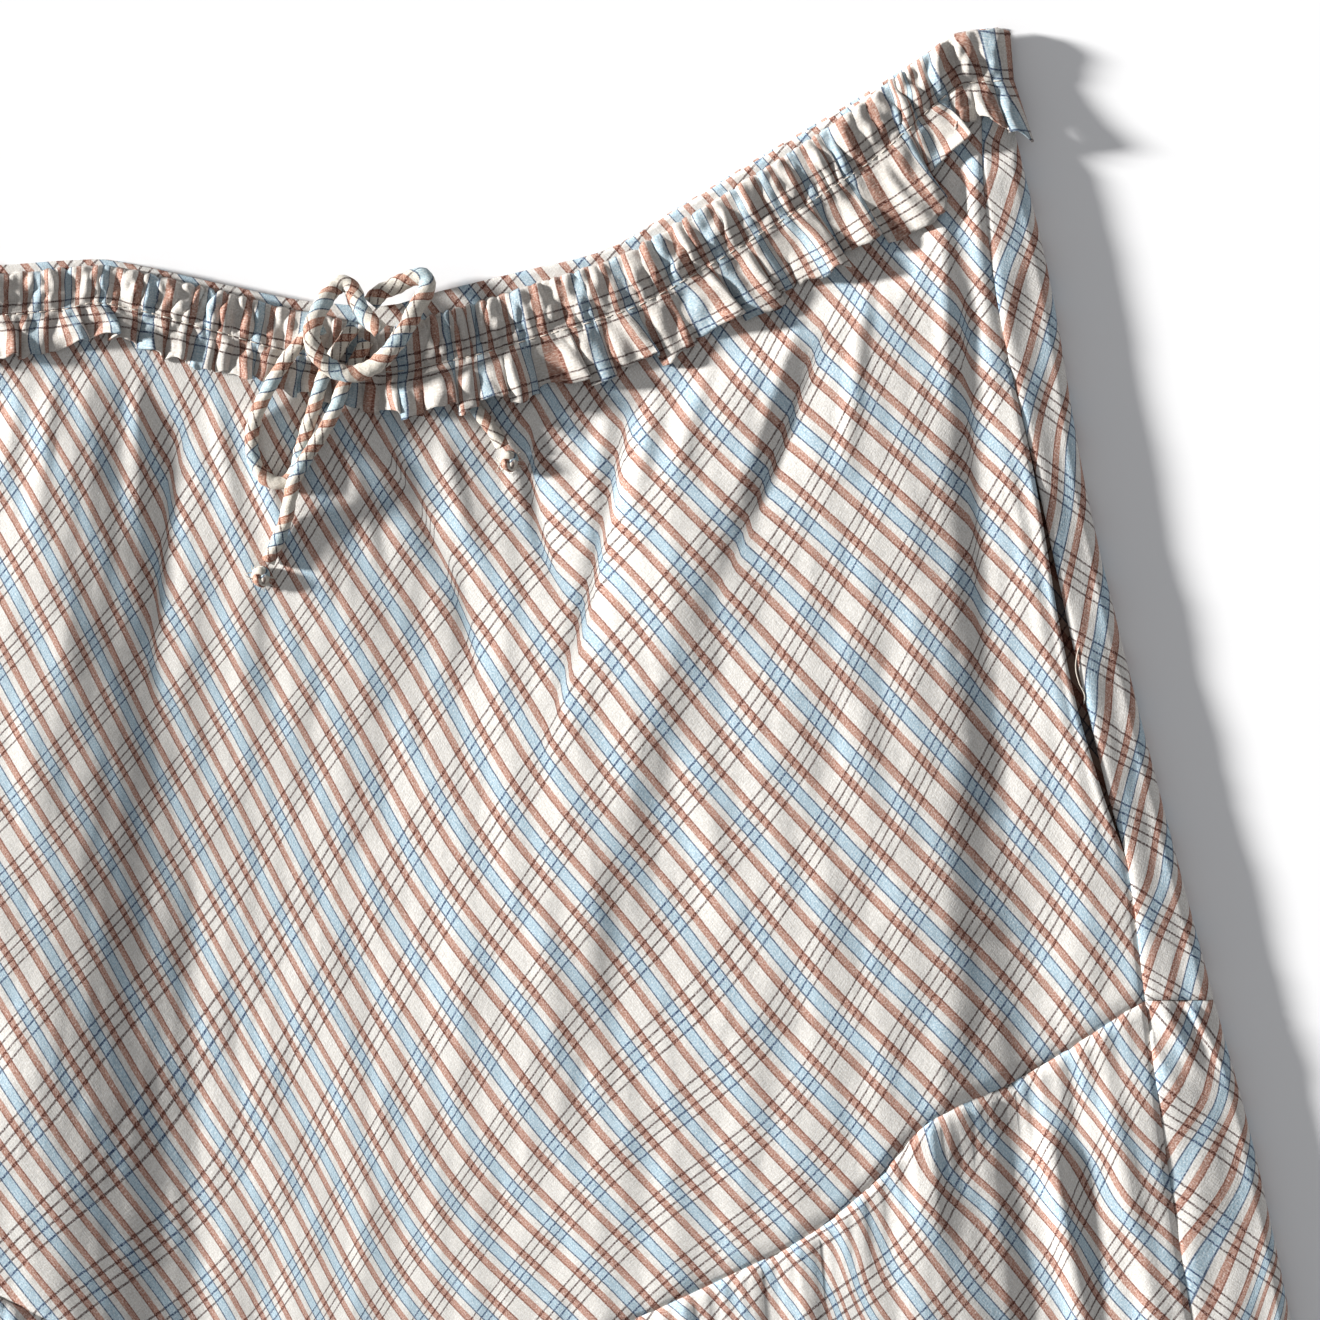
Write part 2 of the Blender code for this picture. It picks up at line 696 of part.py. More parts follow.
def smooth_route(route, spacing):
    """Evenly spaced points on a smooth curve through a route's points."""
    points = [Vector(point) for point in route]
    ends = [2 * points[0] - points[1], *points, 2 * points[-1] - points[-2]]
    fine = []
    for before, start, stop, after in zip(ends, ends[1:], ends[2:], ends[3:]):
        for step in range(12):
            t = step / 12
            fine.append(
                0.5
                * (
                    2 * start
                    + (stop - before) * t
                    + (2 * before - 5 * start + 4 * stop - after) * t ** 2
                    + (3 * start - before - 3 * stop + after) * t ** 3
                )
            )
    fine.append(points[-1])
    lengths = [0.0]
    for a, b in zip(fine, fine[1:]):
        lengths.append(lengths[-1] + (b - a).length)
    count = max(round(lengths[-1] / spacing), 2)
    even = []
    at = 0
    for step in range(count + 1):
        goal = lengths[-1] * step / count
        while at < len(fine) - 2 and lengths[at + 1] < goal:
            at += 1
        share = (goal - lengths[at]) / max(lengths[at + 1] - lengths[at], 1e-9)
        even.append(fine[at].lerp(fine[at + 1], min(max(share, 0.0), 1.0)))
    return even


def laid_route(route, spacing, trees):
    """Even points along a route, laid on the cloth and carried over what the cord crosses."""
    radius = 0.5 * TIE_DIAMETER
    places = smooth_route(route, spacing / 3)
    struck = [resting_height(x, y, radius, trees) + lift for x, y, lift in places]
    needed = [max(struck[max(at - 2, 0):at + 3]) for at in range(len(struck))]
    heights = needed[:]
    for _ in range(12):
        padded = [heights[0], *heights, heights[-1]]
        heights = [
            max(need, 0.25 * (before + 2 * here + after))
            for need, before, here, after in zip(needed, padded, padded[1:], padded[2:])
        ]
    laid = [(x, y, height) for (x, y, _), height in zip(places, heights)]
    return laid[::3] if len(laid) % 3 == 1 else [*laid[::3], laid[-1]]


def tie(name, points, collection, surface):
    """A drawstring tube along points."""
    curve = bpy.data.curves.new(name, "CURVE")
    curve.dimensions = "3D"
    curve.bevel_depth = 0.5 * TIE_DIAMETER * MM
    curve.bevel_resolution = 2
    curve.use_fill_caps = True
    spline = curve.splines.new("POLY")
    spline.points.add(len(points) - 1)
    for point, place in zip(spline.points, points):
        point.co = (*(Vector(place) * MM), 1.0)
    return finish(bpy.data.objects.new(name, curve), collection, surface)


def end_knot(name, place, trees, collection, surface):
    """A small knot: a ball wound with two turns of the cord."""
    x, y = place
    mesh = bpy.data.meshes.new(name)
    ball = bmesh.new()
    bmesh.ops.create_uvsphere(ball, u_segments=12, v_segments=8, radius=1.0)
    level = resting_height(x, y, KNOT_SIZE[2], trees)
    for point in ball.verts:
        turn = math.atan2(point.co.y, point.co.x)
        winding = 1 + 0.10 * math.sin(2 * turn + 5 * point.co.z)
        point.co = Vector(
            (
                x + KNOT_SIZE[0] * winding * point.co.x,
                y + KNOT_SIZE[1] * winding * point.co.y,
                level + KNOT_SIZE[2] * point.co.z,
            )
        ) * MM
    ball.to_mesh(mesh)
    ball.free()
    mesh.shade_smooth()
    return finish(bpy.data.objects.new(name, mesh), collection, surface)


def main():
    for thing in list(bpy.data.objects):
        bpy.data.objects.remove(thing, do_unlink=True)
    collection = bpy.data.collections.new("ruffle_skirt")
    bpy.context.scene.collection.children.link(collection)
    skirt = bpy.data.objects.new("skirt", None)
    skirt.location = (FRAME_SHIFT[0] * MM, FRAME_SHIFT[1] * MM, 0.0)
    collection.objects.link(skirt)

    plaid = material("plaid_cotton", CREAM)
    shaded = material("pocket_cotton", SHADE_TINT)
    drawstring = material("drawstring_cotton", DRAWSTRING_TINT)

    cloth("back_waist_frill", 3 * BACK_PLEATS, 3, back_strip_place, collection, plaid)
    back = cloth("back_upper_panel", BACK_COLUMNS, UPPER_ROWS, back_upper_place, collection, plaid)
    cloth("back_lower_tier", BACK_COLUMNS, TIER_ROWS, back_tier_place, collection, plaid)
    cloth("pocket_bag", 6, 6, pocket_place, collection, shaded)
    panel = cloth("front_upper_panel", FRONT_COLUMNS, UPPER_ROWS, front_upper_place, collection, plaid)
    cloth("front_lower_tier", FRONT_COLUMNS, TIER_ROWS, front_tier_place, collection, plaid)
    strip = cloth("front_waist_frill", 3 * CASING_PLEATS, 5, front_strip_place, collection, plaid)

    under_frill = trees_of([panel])
    over_all = trees_of([back, panel, strip])
    tie("tie_bow", laid_route(BOW_ROUTE, 2.4, over_all), collection, drawstring)
    tie("tie_hanging_loop", laid_route(HANGING_ROUTE, 3.0, over_all), collection, drawstring)
    tie("tie_long_end", laid_route(LONG_END_ROUTE, 3.4, over_all), collection, drawstring)
    tie("tie_short_end", laid_route(SHORT_END_ROUTE, 3.0, under_frill), collection, drawstring)
    end_knot("tie_long_end_knot", LONG_END_KNOT, under_frill, collection, drawstring)
    end_knot("tie_short_end_knot", SHORT_END_KNOT, under_frill, collection, drawstring)


main()
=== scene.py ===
"""The looks of a gathered plaid ruffle skirt with a drawstring waist, laid flat with its front up.

Charts and shapes are in millimetres, as in the part's own source, and a mesh is turned into metres as it
is made. x runs across the skirt, y up towards the waist, z up from the surface. Their zero is on that
surface under the middle of the front waist edge, and FRAME_SHIFT moves every piece to the frame's place.
Cloth is a fine grid that follows the solids' forms, with the small folds, gathers and curls that they
leave out. The plaid is charted by the places that its blue stripes and its groups of thin lines run
through, and each point of the cloth carries its count of repeats both ways.
"""
import json
import math

import bpy
import numpy as np
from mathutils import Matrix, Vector, noise
from mathutils.bvhtree import BVHTree

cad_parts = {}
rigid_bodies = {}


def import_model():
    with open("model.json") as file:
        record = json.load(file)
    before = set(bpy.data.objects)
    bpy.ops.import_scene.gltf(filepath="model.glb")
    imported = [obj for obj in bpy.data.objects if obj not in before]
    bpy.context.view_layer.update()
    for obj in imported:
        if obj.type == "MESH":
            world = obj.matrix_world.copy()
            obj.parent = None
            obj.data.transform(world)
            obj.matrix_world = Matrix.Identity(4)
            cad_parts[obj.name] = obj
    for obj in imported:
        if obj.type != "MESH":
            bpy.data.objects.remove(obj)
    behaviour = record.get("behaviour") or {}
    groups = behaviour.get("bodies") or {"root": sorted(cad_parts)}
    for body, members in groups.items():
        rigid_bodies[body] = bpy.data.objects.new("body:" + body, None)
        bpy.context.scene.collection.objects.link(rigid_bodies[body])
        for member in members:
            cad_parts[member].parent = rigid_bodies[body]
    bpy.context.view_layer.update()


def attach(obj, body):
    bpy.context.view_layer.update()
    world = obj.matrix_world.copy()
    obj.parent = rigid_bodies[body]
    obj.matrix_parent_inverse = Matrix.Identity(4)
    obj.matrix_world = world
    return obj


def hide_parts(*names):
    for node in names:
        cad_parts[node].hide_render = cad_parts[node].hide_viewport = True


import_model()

MM = 0.001
FRAME_SHIFT = np.array((0.0, 303.77, 0.0))

# Driving sizes, the same as the solids have
TIE_DIAMETER = 3.8
WAIST_HALF = 162.0
STRIP_HALF = 160.4
PANEL_SHARE = 0.965
SEAM_ENDS = (-204.0, 199.0)
HEM_HALF = 268.0
FLOOR_LEVEL = 0.5
BACK_OVER_FRILL = 2.75
FRONT_LEVEL = 2.7
FRONT_AT_WAIST = 4.4
SEAM_RISE = 4.6
SIDE_ROLL = 3.0
SIDE_ROLL_AT_WAIST = 0.95
POCKET_RISE = 0.7
TIER_GATHERS = 24
UPPER_ROWS = 13
ROWS_UNDER_FRILL = 2
FRONT_START = 2.0
FRONT_RUN = 16.0
BACK_START = 5.0
BACK_RUN = 9.0
REST_SHARE = 0.625
ROLL_SHARE = 0.875

# The cloth as it shows
CLOTH_WALL = 0.6
SEAM_LINE = 0.10
FRONT_ACROSS = np.linspace(-1, 1, 271)
WIDE_REPEAT = 16.4
THIN_REPEAT = 16.2
COURSE_REACH = 70.0

# The photograph's frame: its width, and the place under its middle
PHOTO_WIDTH = 343.2
PHOTO_MIDDLE = (72.8, -91.0)
CAMERA_HEIGHT = 1500.0

# The light, with its height and turn in degrees
LIGHT_STRENGTH = 8.9
LIGHT_HEIGHT = 15.5
LIGHT_SOFTNESS = 7.0
LIGHT_TURN = 9.0
SURROUND = 0.34


class Chart:
    """A short table with named columns, read between its rows along the first column by a smooth curve."""

    def __init__(self, columns, rows):
        table = np.array(rows, float)
        self.at = table[:, 0]
        self.values = {name: table[:, index] for index, name in enumerate(columns)}
        self.slopes = {name: self.rates(table[:, index]) for index, name in enumerate(columns)}

    def rates(self, values):
        """The curve's slope at each row, held flat at its turning points."""
        steps = np.diff(values) / np.diff(self.at)
        before, after = steps[:-1], steps[1:]
        turning = before * after <= 0
        total = np.where(turning, 1.0, before + after)
        inner = np.where(turning, 0.0, 2 * before * after / total)
        return np.concatenate(([steps[0]], inner, [steps[-1]]))

    def read(self, name, where):
        """The named column's value at places along the first column."""
        where = np.clip(where, self.at[0], self.at[-1])
        row = np.clip(np.searchsorted(self.at, where, side="right") - 1, 0, len(self.at) - 2)
        run = self.at[row + 1] - self.at[row]
        share = (where - self.at[row]) / run
        values, slopes = self.values[name], self.slopes[name]
        ease = share * share * (3 - 2 * share)
        bend = share * (1 - share) * ((1 - share) * slopes[row] - share * slopes[row + 1]) * run
        return values[row] + (values[row + 1] - values[row]) * ease + bend


class Courses:
    """Counts the plaid's repeats over a piece: an even run, with bends that carry each charted stripe
    through its places and fade out beyond them."""

    def __init__(self, pitch, lean, stripes):
        places = [(x, y) for stripe in stripes for x, y in stripe[1:]]
        numbers = [stripe[0] for stripe in stripes for _ in stripe[1:]]
        turn = math.radians(lean)
        self.run = np.array((math.cos(turn), math.sin(turn))) / pitch
        self.places = np.array(places, float)
        left_over = np.array(numbers, float) - self.places @ self.run
        self.start = left_over.mean()
        near = self.nearness(self.places)
        self.weights = np.linalg.solve(near + 1e-4 * np.eye(len(near)), left_over - self.start)

    def nearness(self, points):
        away = np.linalg.norm(points[:, None] - self.places[None], axis=2) / COURSE_REACH
        return (1 + away) * np.exp(-away)

    def read(self, x, y):
        points = np.column_stack((np.ravel(x), np.ravel(y)))
        count = points @ self.run + self.start
        for first in range(0, len(points), 20000):
            part = slice(first, first + 20000)
            count[part] += self.nearness(points[part]) @ self.weights
        return count.reshape(np.shape(x))


# The waist edge from the left corner to the right one: how much of the back's inner side shows above
# the front, the depths of casing and frill, and how far the strip leans from straight down, in degrees
WAIST = Chart(("x", "y", "back_shows", "casing", "frill", "lean"), (
    (-162, 37.0, 1.0, 12.0, 9.5, -4),
    (-150, 33.5, 1.2, 12.0, 10.0, -14),
    (-133, 23.0, 3.0, 11.0, 11.5, -22),
    (-115, 15.0, 3.5, 10.5, 12.0, -10),
    (-99, 11.7, 3.0, 10.0, 11.7, -2),
    (-84, 12.7, 2.8, 10.0, 10.5, 0),
    (-73, 13.2, 2.4, 9.0, 8.5, -6),
    (-62, 11.5, 2.5, 9.0, 9.5, -10),
    (-42, 7.0, 2.8, 9.5, 10.3, -10),
    (-16, 2.0, 4.0, 10.5, 10.0, -6),
    (0, 1.0, 6.0, 11.0, 11.5, 2),
    (16, 5.0, 6.3, 12.0, 12.5, 8),
    (36, 9.9, 5.0, 12.7, 14.0, 12),
    (57, 15.1, 3.7, 13.0, 15.0, 20),
    (78, 27.0, 4.2, 13.0, 15.5, 28),
    (99, 40.0, 4.0, 13.0, 17.0, 29),
    (120, 52.5, 2.8, 13.0, 20.0, 27),
    (132, 60.0, 1.6, 12.6, 17.0, 20),
    (141, 66.0, 1.0, 12.3, 11.0, 12),
    (151, 72.3, 0.8, 12.6, 9.5, 7),
    (162, 73.6, 0.8, 13.0, 10.5, 3),
))

TIER_SEAM = Chart(("x", "y"), (
    (-204, -193), (-165, -218), (-120, -246), (-70, -268), (0, -280), (40, -273), (67, -262),
    (91, -251), (110, -241.5), (124, -231), (144, -210.5), (165, -200.5), (199, -179.4),
))
HEM = Chart(("x", "y"), (
    (-268, -612), (-200, -638), (-100, -668), (0, -681), (100, -666), (200, -634), (268, -604),
))

RIGHT_SIDE = Chart(("y", "seam", "outline", "slope"), (
    (-604, 268, 300, 60),
    (-430, 240, 268, 70),
    (-263, 211, 236.6, 84),
    (-216, 203.8, 226.5, 84),
    (-179, 198.9, 216.5, 80),
    (-145, 194.5, 207.5, 74),
    (-127, 189.6, 202.8, 70),
    (-97, 182.4, 195.2, 62),
    (-45, 171.0, 183.0, 46),
    (9, 159.5, 173.6, 22),
    (41, 156.5, 166.0, 8),
    (60, 156.5, 161.6, 6),
    (74, 156.0, 159.3, 4),
))
LEFT_SIDE = Chart(("y", "seam", "outline", "slope"), (
    (-612, -268, -300, 56),
    (-430, -242, -268, 60),
    (-300, -222, -243, 62),
    (-193, -204, -220, 58),
    (-130, -188, -203, 50),
    (-80, -176, -189, 40),
    (-28, -163, -175.5, 22),
    (6, -157, -166.5, 9),
    (24, -156, -161.8, 6),
    (37, -156, -159.3, 4),
))

# The pocket's mouth in the right side seam, which gapes between the front panel and the side strip
POCKET_MOUTH = Chart(("y", "gape"), (
    (-148, 0), (-138, 0.5), (-120, 1.8), (-100, 2.7), (-80, 2.3), (-55, 0.9), (-30, 0.2), (8, 0),
))
POCKET_TOP = 6.0
POCKET_FOOT = -158.0
POCKET_REACH = 108.0
POCKET_TUCK = 8.0
POCKET_LEVEL = 1.9
POCKET_BELOW_FRILL = 18.0

# Soft folds on the front, which fall away gently on one side and steeply on the other. Each crest runs
# through three places, and the breadths of its flanks and its height change from its top to its foot
FOLD_COLUMNS = (
    "x_top", "y_top", "x_mid", "y_mid", "x_foot", "y_foot",
    "left_top", "left_foot", "right_top", "right_foot", "height_top", "height_foot",
)
FRONT_FOLDS = (
    (-150, -6, -164, -90, -176, -200, 10, 18, 12, 22, 3.0, 4.2),
    (-128, -4, -142, -100, -150, -250, 12, 22, 12, 22, 3.2, 5.0),
    (-104, -8, -120, -120, -128, -280, 12, 22, 10, 16, 3.0, 4.6),
    (-78, -12, -86, -110, -86, -420, 40, 140, 24, 76, 3.6, 14.6),
    (-32, -22, -14, -65, 6, -115, 14, 18, 14, 20, 1.2, 0.8),
    (47, -14, 50, -34, 50, -70, 12, 16, 11, 12, 1.4, 0.8),
    (104, -8, 78, -80, 32, -260, 48, 96, 20, 32, 5.2, 5.6),
    (147, 30, 144, -90, 157, -420, 70, 380, 18, 60, 5.0, 9.6),
)
TIER_FOLDS = (
    (-176, -214, -196, -350, -236, -640, 10, 26, 14, 30, 3.0, 6.0),
    (-128, -244, -140, -380, -166, -670, 12, 28, 14, 26, 3.0, 7.0),
    (-50, -276, -58, -420, -74, -700, 12, 30, 16, 34, 3.0, 7.5),
    (0, -282, 2, -430, 6, -700, 14, 26, 14, 30, 3.0, 6.0),
    (52, -272, 66, -420, 88, -700, 12, 30, 12, 30, 3.4, 7.5),
    (100, -250, 122, -400, 158, -670, 10, 26, 12, 30, 3.6, 6.0),
    (144, -214, 152, -262, 196, -650, 10, 24, 12, 26, 5.0, 6.4),
    (170, -200, 181, -250, 214, -500, 8, 18, 7, 20, 5.2, 5.4),
    (187, -190, 197, -240, 236, -600, 8, 16, 7, 20, 5.2, 5.0),
)

# Short creases that only the looks have: under the frill's gathers, and by the pocket's facing
FRONT_CREASES = (
    (-92, -12, -96, -30, -104, -62, 4, 5, 4, 5, 0.9, 0.4),
    (-84, -12, -87, -34, -90, -70, 4, 6, 3, 4, 0.9, 0.4),
    (-62, -14, -63, -34, -62, -64, 4, 5, 3, 4, 1.1, 0.4),
    (-43, -18, -40, -40, -34, -72, 4, 5, 3, 5, 0.9, 0.4),
    (-33, -22, -29, -44, -22, -76, 4, 5, 3, 4, 1.0, 0.4),
    (-12, -24, -5, -50, 4, -84, 3, 5, 3, 5, 0.9, 0.4),
    (14, -24, 19, -44, 30, -78, 3, 5, 3, 5, 0.9, 0.4),
    (31, -20, 34, -38, 40, -62, 3, 4, 3, 4, 0.8, 0.4),
    (62, -8, 58, -30, 52, -58, 4, 5, 3, 5, 1.1, 0.4),
    (77, -2, 70, -30, 60, -70, 4, 6, 4, 5, 1.1, 0.5),
    (90, 2, 82, -24, 70, -60, 4, 5, 3, 5, 1.0, 0.4),
    (112, 10, 103, -20, 92, -56, 3, 5, 3, 5, 1.1, 0.4),
    (128, 18, 124, -14, 118, -56, 3, 5, 3, 5, 1.2, 0.4),
    (146, 34, 147, 4, 150, -42, 3, 5, 3, 5, 1.0, 0.4),
    (153, 40, 156, 10, 163, -40, 2, 3, 3, 4, 0.9, 0.4),
)

# Small tucks that hide a little cloth, where the stripes jog: each runs through three places, with its
# breadth and the cloth that it hides
TUCK_COLUMNS = ("x_top", "y_top", "x_mid", "y_mid", "x_foot", "y_foot", "breadth", "hidden")
TUCKS = (
    (66, -18, 57, -64, 40, -122, 3.0, 5.0),
    (41, -20, 40, -46, 50, -80, 2.6, 4.0),
    (-5, -26, 14, -58, 26, -104, 3.4, 3.6),
    (-50, -24, -56, -60, -60, -110, 3.4, 3.0),
    (118, 2, 104, -36, 84, -84, 3.2, 3.4),
    (150, 20, 154, -40, 156, -110, 3.4, 3.0),
)

# Places on the front panels that a wide blue stripe, or the middle of four thin lines, runs through. Each
# row starts with the number of that stripe or group
FRONT_WIDE = Courses(13.9, 34.1, (
    (-15, (-90, -187), (-66, -224), (-40, -260)),
    (-12, (-88, -114), (-66, -151), (-46, -187), (-24, -224), (-5, -260)),
    (-9, (-84, -42), (-66, -78), (-48, -114), (-29, -151), (-9, -187), (13, -224), (47, -260)),
    (-6, (-46, -42), (-28, -78), (-7, -114), (14, -151), (42, -187), (72, -224)),
    (-3, (-4, -42), (20, -78), (41, -114), (71, -151), (99, -187)),
    (0, (41, -42), (69, -78), (98, -114), (133, -151), (168, -187)),
    (3, (98, -42), (135, -78), (167, -114)),
    (6, (131, -5), (167, -42)),
))
FRONT_THIN = Courses(15.4, -35.4, (
    (-12, (-95, -42)),
    (-10, (-60, -42), (-86, -78)),
    (-8, (-27, -42), (-50, -78), (-82, -114)),
    (-6, (4, -42), (-18, -78), (-47, -114), (-79, -151)),
    (-4, (40, -42), (14, -78), (-13, -114), (-39, -151), (-71, -187)),
    (-2, (103, -5), (79, -42), (50, -78), (25, -114), (1, -151), (-20, -187), (-40, -224), (-83, -260)),
    (0, (135, -5), (117, -42), (94, -78), (66, -114), (39, -151), (16, -187), (-6, -224), (-29, -260)),
    (2, (149, -42), (130, -78), (111, -114), (82, -151), (50, -187), (24, -224), (-1, -260)),
    (4, (164, -78), (144, -114), (124, -151), (101, -187), (59, -224), (29, -260)),
    (6, (180, -114), (160, -151), (137, -187), (112, -224), (68, -260)),
    (8, (177, -187)),
))
TIER_WIDE = Courses(13.6, 41.0, (
    (-8, (76, -258), (81, -262)),
    (-7, (89, -254), (96, -262)),
    (-6, (100, -248), (102, -253), (109, -262)),
    (-5, (107, -243), (112, -248), (118, -257)),
    (-4, (116, -237), (121, -244), (124, -254), (127, -260)),
    (-3, (124, -231), (130, -242), (138, -255)),
    (-2, (130, -224), (140, -236), (144, -241), (153, -253), (161, -262)),
    (-1, (143, -212), (146, -222), (159, -235), (169, -247), (177, -258)),
    (0, (153, -207), (164, -220), (173, -231), (182, -241), (189, -253), (195, -260)),
    (1, (167, -202), (178, -213), (185, -221), (191, -233), (198, -240), (208, -250)),
    (2, (178, -193), (183, -201), (192, -213), (205, -227)),
    (3, (190, -187), (201, -202)),
))
TIER_THIN = Courses(16.7, -34.3, (
    (-2, (132, -224), (109, -242)),
    (-1, (163, -205), (149, -226), (142, -239), (119, -260)),
    (0, (178, -212), (170, -226), (162, -239), (153, -252)),
    (1, (192, -212), (186, -225), (180, -238), (173, -251)),
    (2, (204, -225), (197, -239), (188, -252)),
    (3, (209, -253)),
))

# The same on the back's strip outside the right side seam, where the stripes run the other way
STRIP_WIDE = Courses(15.6, -21.0, (
    (0, (159, 46), (154, 33)),
    (1, (169, 31), (166, 20), (163, 13), (160, 2)),
    (2, (175, -4), (172, -14), (169, -23), (167, -33)),
    (3, (180, -33), (179, -49), (177, -60)),
    (4, (188, -78), (187, -86), (185, -94), (185, -101)),
    (5, (198, -113), (195, -124), (193, -133)),
    (6, (205, -141), (204, -149), (201, -156), (198, -163)),
    (7, (212, -168), (210, -176)),
))
STRIP_THIN = Courses(14.4, -129.0, (
    (1, (154, 29), (168, 17)),
    (2, (160, 6), (174, -5)),
    (3, (169, -20)),
    (4, (170, -41), (180, -48)),
    (5, (176, -65), (186, -72)),
    (6, (182, -88), (191, -93)),
    (7, (187, -110), (191, -113)),
    (8, (193, -132), (203, -137)),
    (9, (200, -157), (208, -162)),
    (10, (202, -176)),
))
LOW_STRIP_WIDE = Courses(15.6, -33.0, (
    (0, (212, -181), (209, -189), (203, -199)),
    (1, (220, -196), (219, -205), (214, -214), (210, -220), (206, -227)),
    (2, (227, -218), (226, -225), (221, -235), (214, -246), (210, -254)),
    (3, (232, -243), (229, -252), (226, -260)),
    (4, (235, -256)),
))
LOW_STRIP_THIN = Courses(16.0, -126.0, (
    (0, (210, -186), (220, -198)),
    (1, (204, -207), (214, -213), (223, -219)),
    (2, (207, -231), (218, -239), (229, -247)),
    (3, (210, -253), (219, -260)),
))

# Where the blue stripes of the waist strip come up between its gathers, along its middle
BAND_BLUE = (
    -89, -81, -71, -58, -43, -30, -19, -7, 5, 16, 23, 34, 50, 59, 70, 81, 90, 97, 105, 114, 131, 136,
    142, 158,
)
BAND_PITCH = 11.3
BAND_THIN_AT = 11.0

# Where each flare of the frill ends on its right side, along the frill's lower edge
FLARE_ENDS = (
    -156, -148, -141, -133, -126, -118, -110, -103, -94, -86, -78, -70.5, -63.5, -56, -50.5, -44, -39.5,
    -33.5, -28, -21.5, -16, -10, -5, 0, 5.5, 11.5, 20.5, 26, 34, 41.5, 54, 61.5, 73, 82, 94, 103.5, 109,
    121.5, 132, 143.5, 149.5, 154.5, 158.5,
)

# The waist strip's heights: of its casing, stitch line and frill, the lowest that casing and frill come
# down to, and of its ends where they turn under
CASING_BASE = 5.5
CASING_LOWEST = 5.2
STITCH_BASE = 5.65
FRILL_REST = 5.35
FRILL_LOWEST = 5.25
ENDS_LEVEL = 2.4

# Rows of the strip's grid: near the middle of the casing, and the stitch line
MIDDLE_ROW = 9
STITCH_ROW = 18
STITCH_PITCH = 3.1
STITCH_LENGTH = 1.9

# Deep folds of the casing: place, breadth and depth
BAND_FOLDS = (
    (-133, 4.0, 1.6), (-112, 3.4, 1.4), (-92, 2.6, 1.5), (-81, 3.0, 1.8), (-68, 3.2, 1.9), (-45, 2.6, 1.3),
    (-28, 2.6, 1.2), (23, 2.8, 1.7), (31, 2.4, 1.6), (44, 2.4, 1.0), (60, 3.0, 1.9), (73, 2.6, 1.3),
    (88, 2.6, 1.4), (106, 3.2, 2.0), (113, 2.6, 1.5), (131, 3.2, 1.7), (143.8, 2.2, -1.5),
    (147.8, 2.6, 2.2), (154, 2.2, 0.8),
)

# The drawstring's routes: place, and how high its underside is carried over the cloth by what it crosses,
# where it is carried at all
BOW_ROUTE = (
    (-2.5, 1.7, 1.2), (0.2, 4.6, 2.2), (3.4, 6.0, 2.6), (7.7, 8.1, 2.4), (11.0, 8.7, 2.2), (12.4, 6.3, 2.4),
    (11.0, 3.2, 3.0), (9.2, 0.3, 3.4), (7.4, -3.7, 3.8), (4.8, -7.7, 4.2), (1.9, -11.4, 4.6),
    (-1.8, -14.7, 5.0), (-6.2, -16.5, 5.2), (-10.6, -16.1, 5.2), (-14.6, -13.6, 5.2), (-17.1, -9.9, 5.2),
    (-17.8, -5.9, 5.2), (-16.7, -1.9, 5.0), (-14.6, 2.1, 4.0), (-12.0, 5.7, 2.6), (-9.4, 6.9, 2.4),
    (-7.2, 5.4, 3.6), (-5.9, 2.0, 5.2), (-3.6, -1.8, 5.8), (0.2, -5.4, 5.2),
)
HANGING_ROUTE = (
    (-6.6, -4.2, 0.4), (-9.0, -7.4, 0.8), (-11.4, -11.0, 0.6), (-13.4, -14.4), (-15.3, -19.0),
    (-17.0, -25.0), (-19.0, -31.0), (-20.6, -36.6), (-21.6, -40.8), (-23.4, -44.0), (-26.4, -45.0),
    (-29.8, -43.8), (-32.4, -40.0), (-33.4, -34.0), (-32.2, -27.4), (-29.4, -21.2), (-26.2, -15.6),
    (-22.6, -10.6), (-18.6, -6.6), (-14.6, -4.4),
)
LONG_END_ROUTE = (
    (-3.4, -8.0, 0.2), (-5.2, -11.2, 0.2), (-7.6, -15.6), (-9.8, -20.4), (-11.6, -25.6),
    (-14.4, -31.0, 0.4), (-17.6, -36.0, 2.6), (-20.4, -40.4, 4.4), (-22.4, -44.6, 4.4), (-23.4, -49.0, 1.6),
    (-24.4, -54.0), (-26.2, -59.0), (-27.8, -62.6), (-29.2, -65.6),
)
SHORT_END_ROUTE = (
    (7.4, -19.8), (10.6, -19.6), (14.4, -20.0), (18.6, -21.0), (22.2, -22.8), (25.2, -26.0), (28.2, -29.8),
    (30.6, -33.2), (31.9, -35.6),
)
SHORT_END_LIFT = (16.3, 12.9, 4.6)
LONG_END_KNOT = (-31.0, -69.3)
SHORT_END_KNOT = (33.6, -39.3)
KNOT_SIZE = (2.5, 3.1, 2.2)
KNOT_THREADS = 26
CORD_REST = 0.15
CORD_SIDES = 18

# How wide the drawstring's bow and its hanging parts look, as a share of its diameter, and how flat
BOW_PRESS = (1.2, 0.2)
HANGING_PRESS = (0.95, 0.04)


def smooth(share):
    """Eases from 0 to 1 as share does."""
    share = np.clip(share, 0.0, 1.0)
    return share * share * (3 - 2 * share)


def mix(low, high, share):
    return low + (high - low) * share


def bump(away, breadth):
    """1 in the middle of a soft bump, falling away to both sides."""
    return np.exp(-(away / breadth) ** 2)


def uneven(across):
    """Moves evenly spaced gathers a little, so that no two are alike. across runs from -1 to 1."""
    return across + 0.012 * np.sin(9.1 * across + 0.6) + 0.007 * np.sin(23.7 * across)


def steps(start, *legs):
    """Even steps from a start to each leg's end in turn, with so many places in each leg."""
    places = [start]
    for end, count in legs:
        places.extend(np.linspace(places[-1], end, count)[1:])
    return np.array(places)


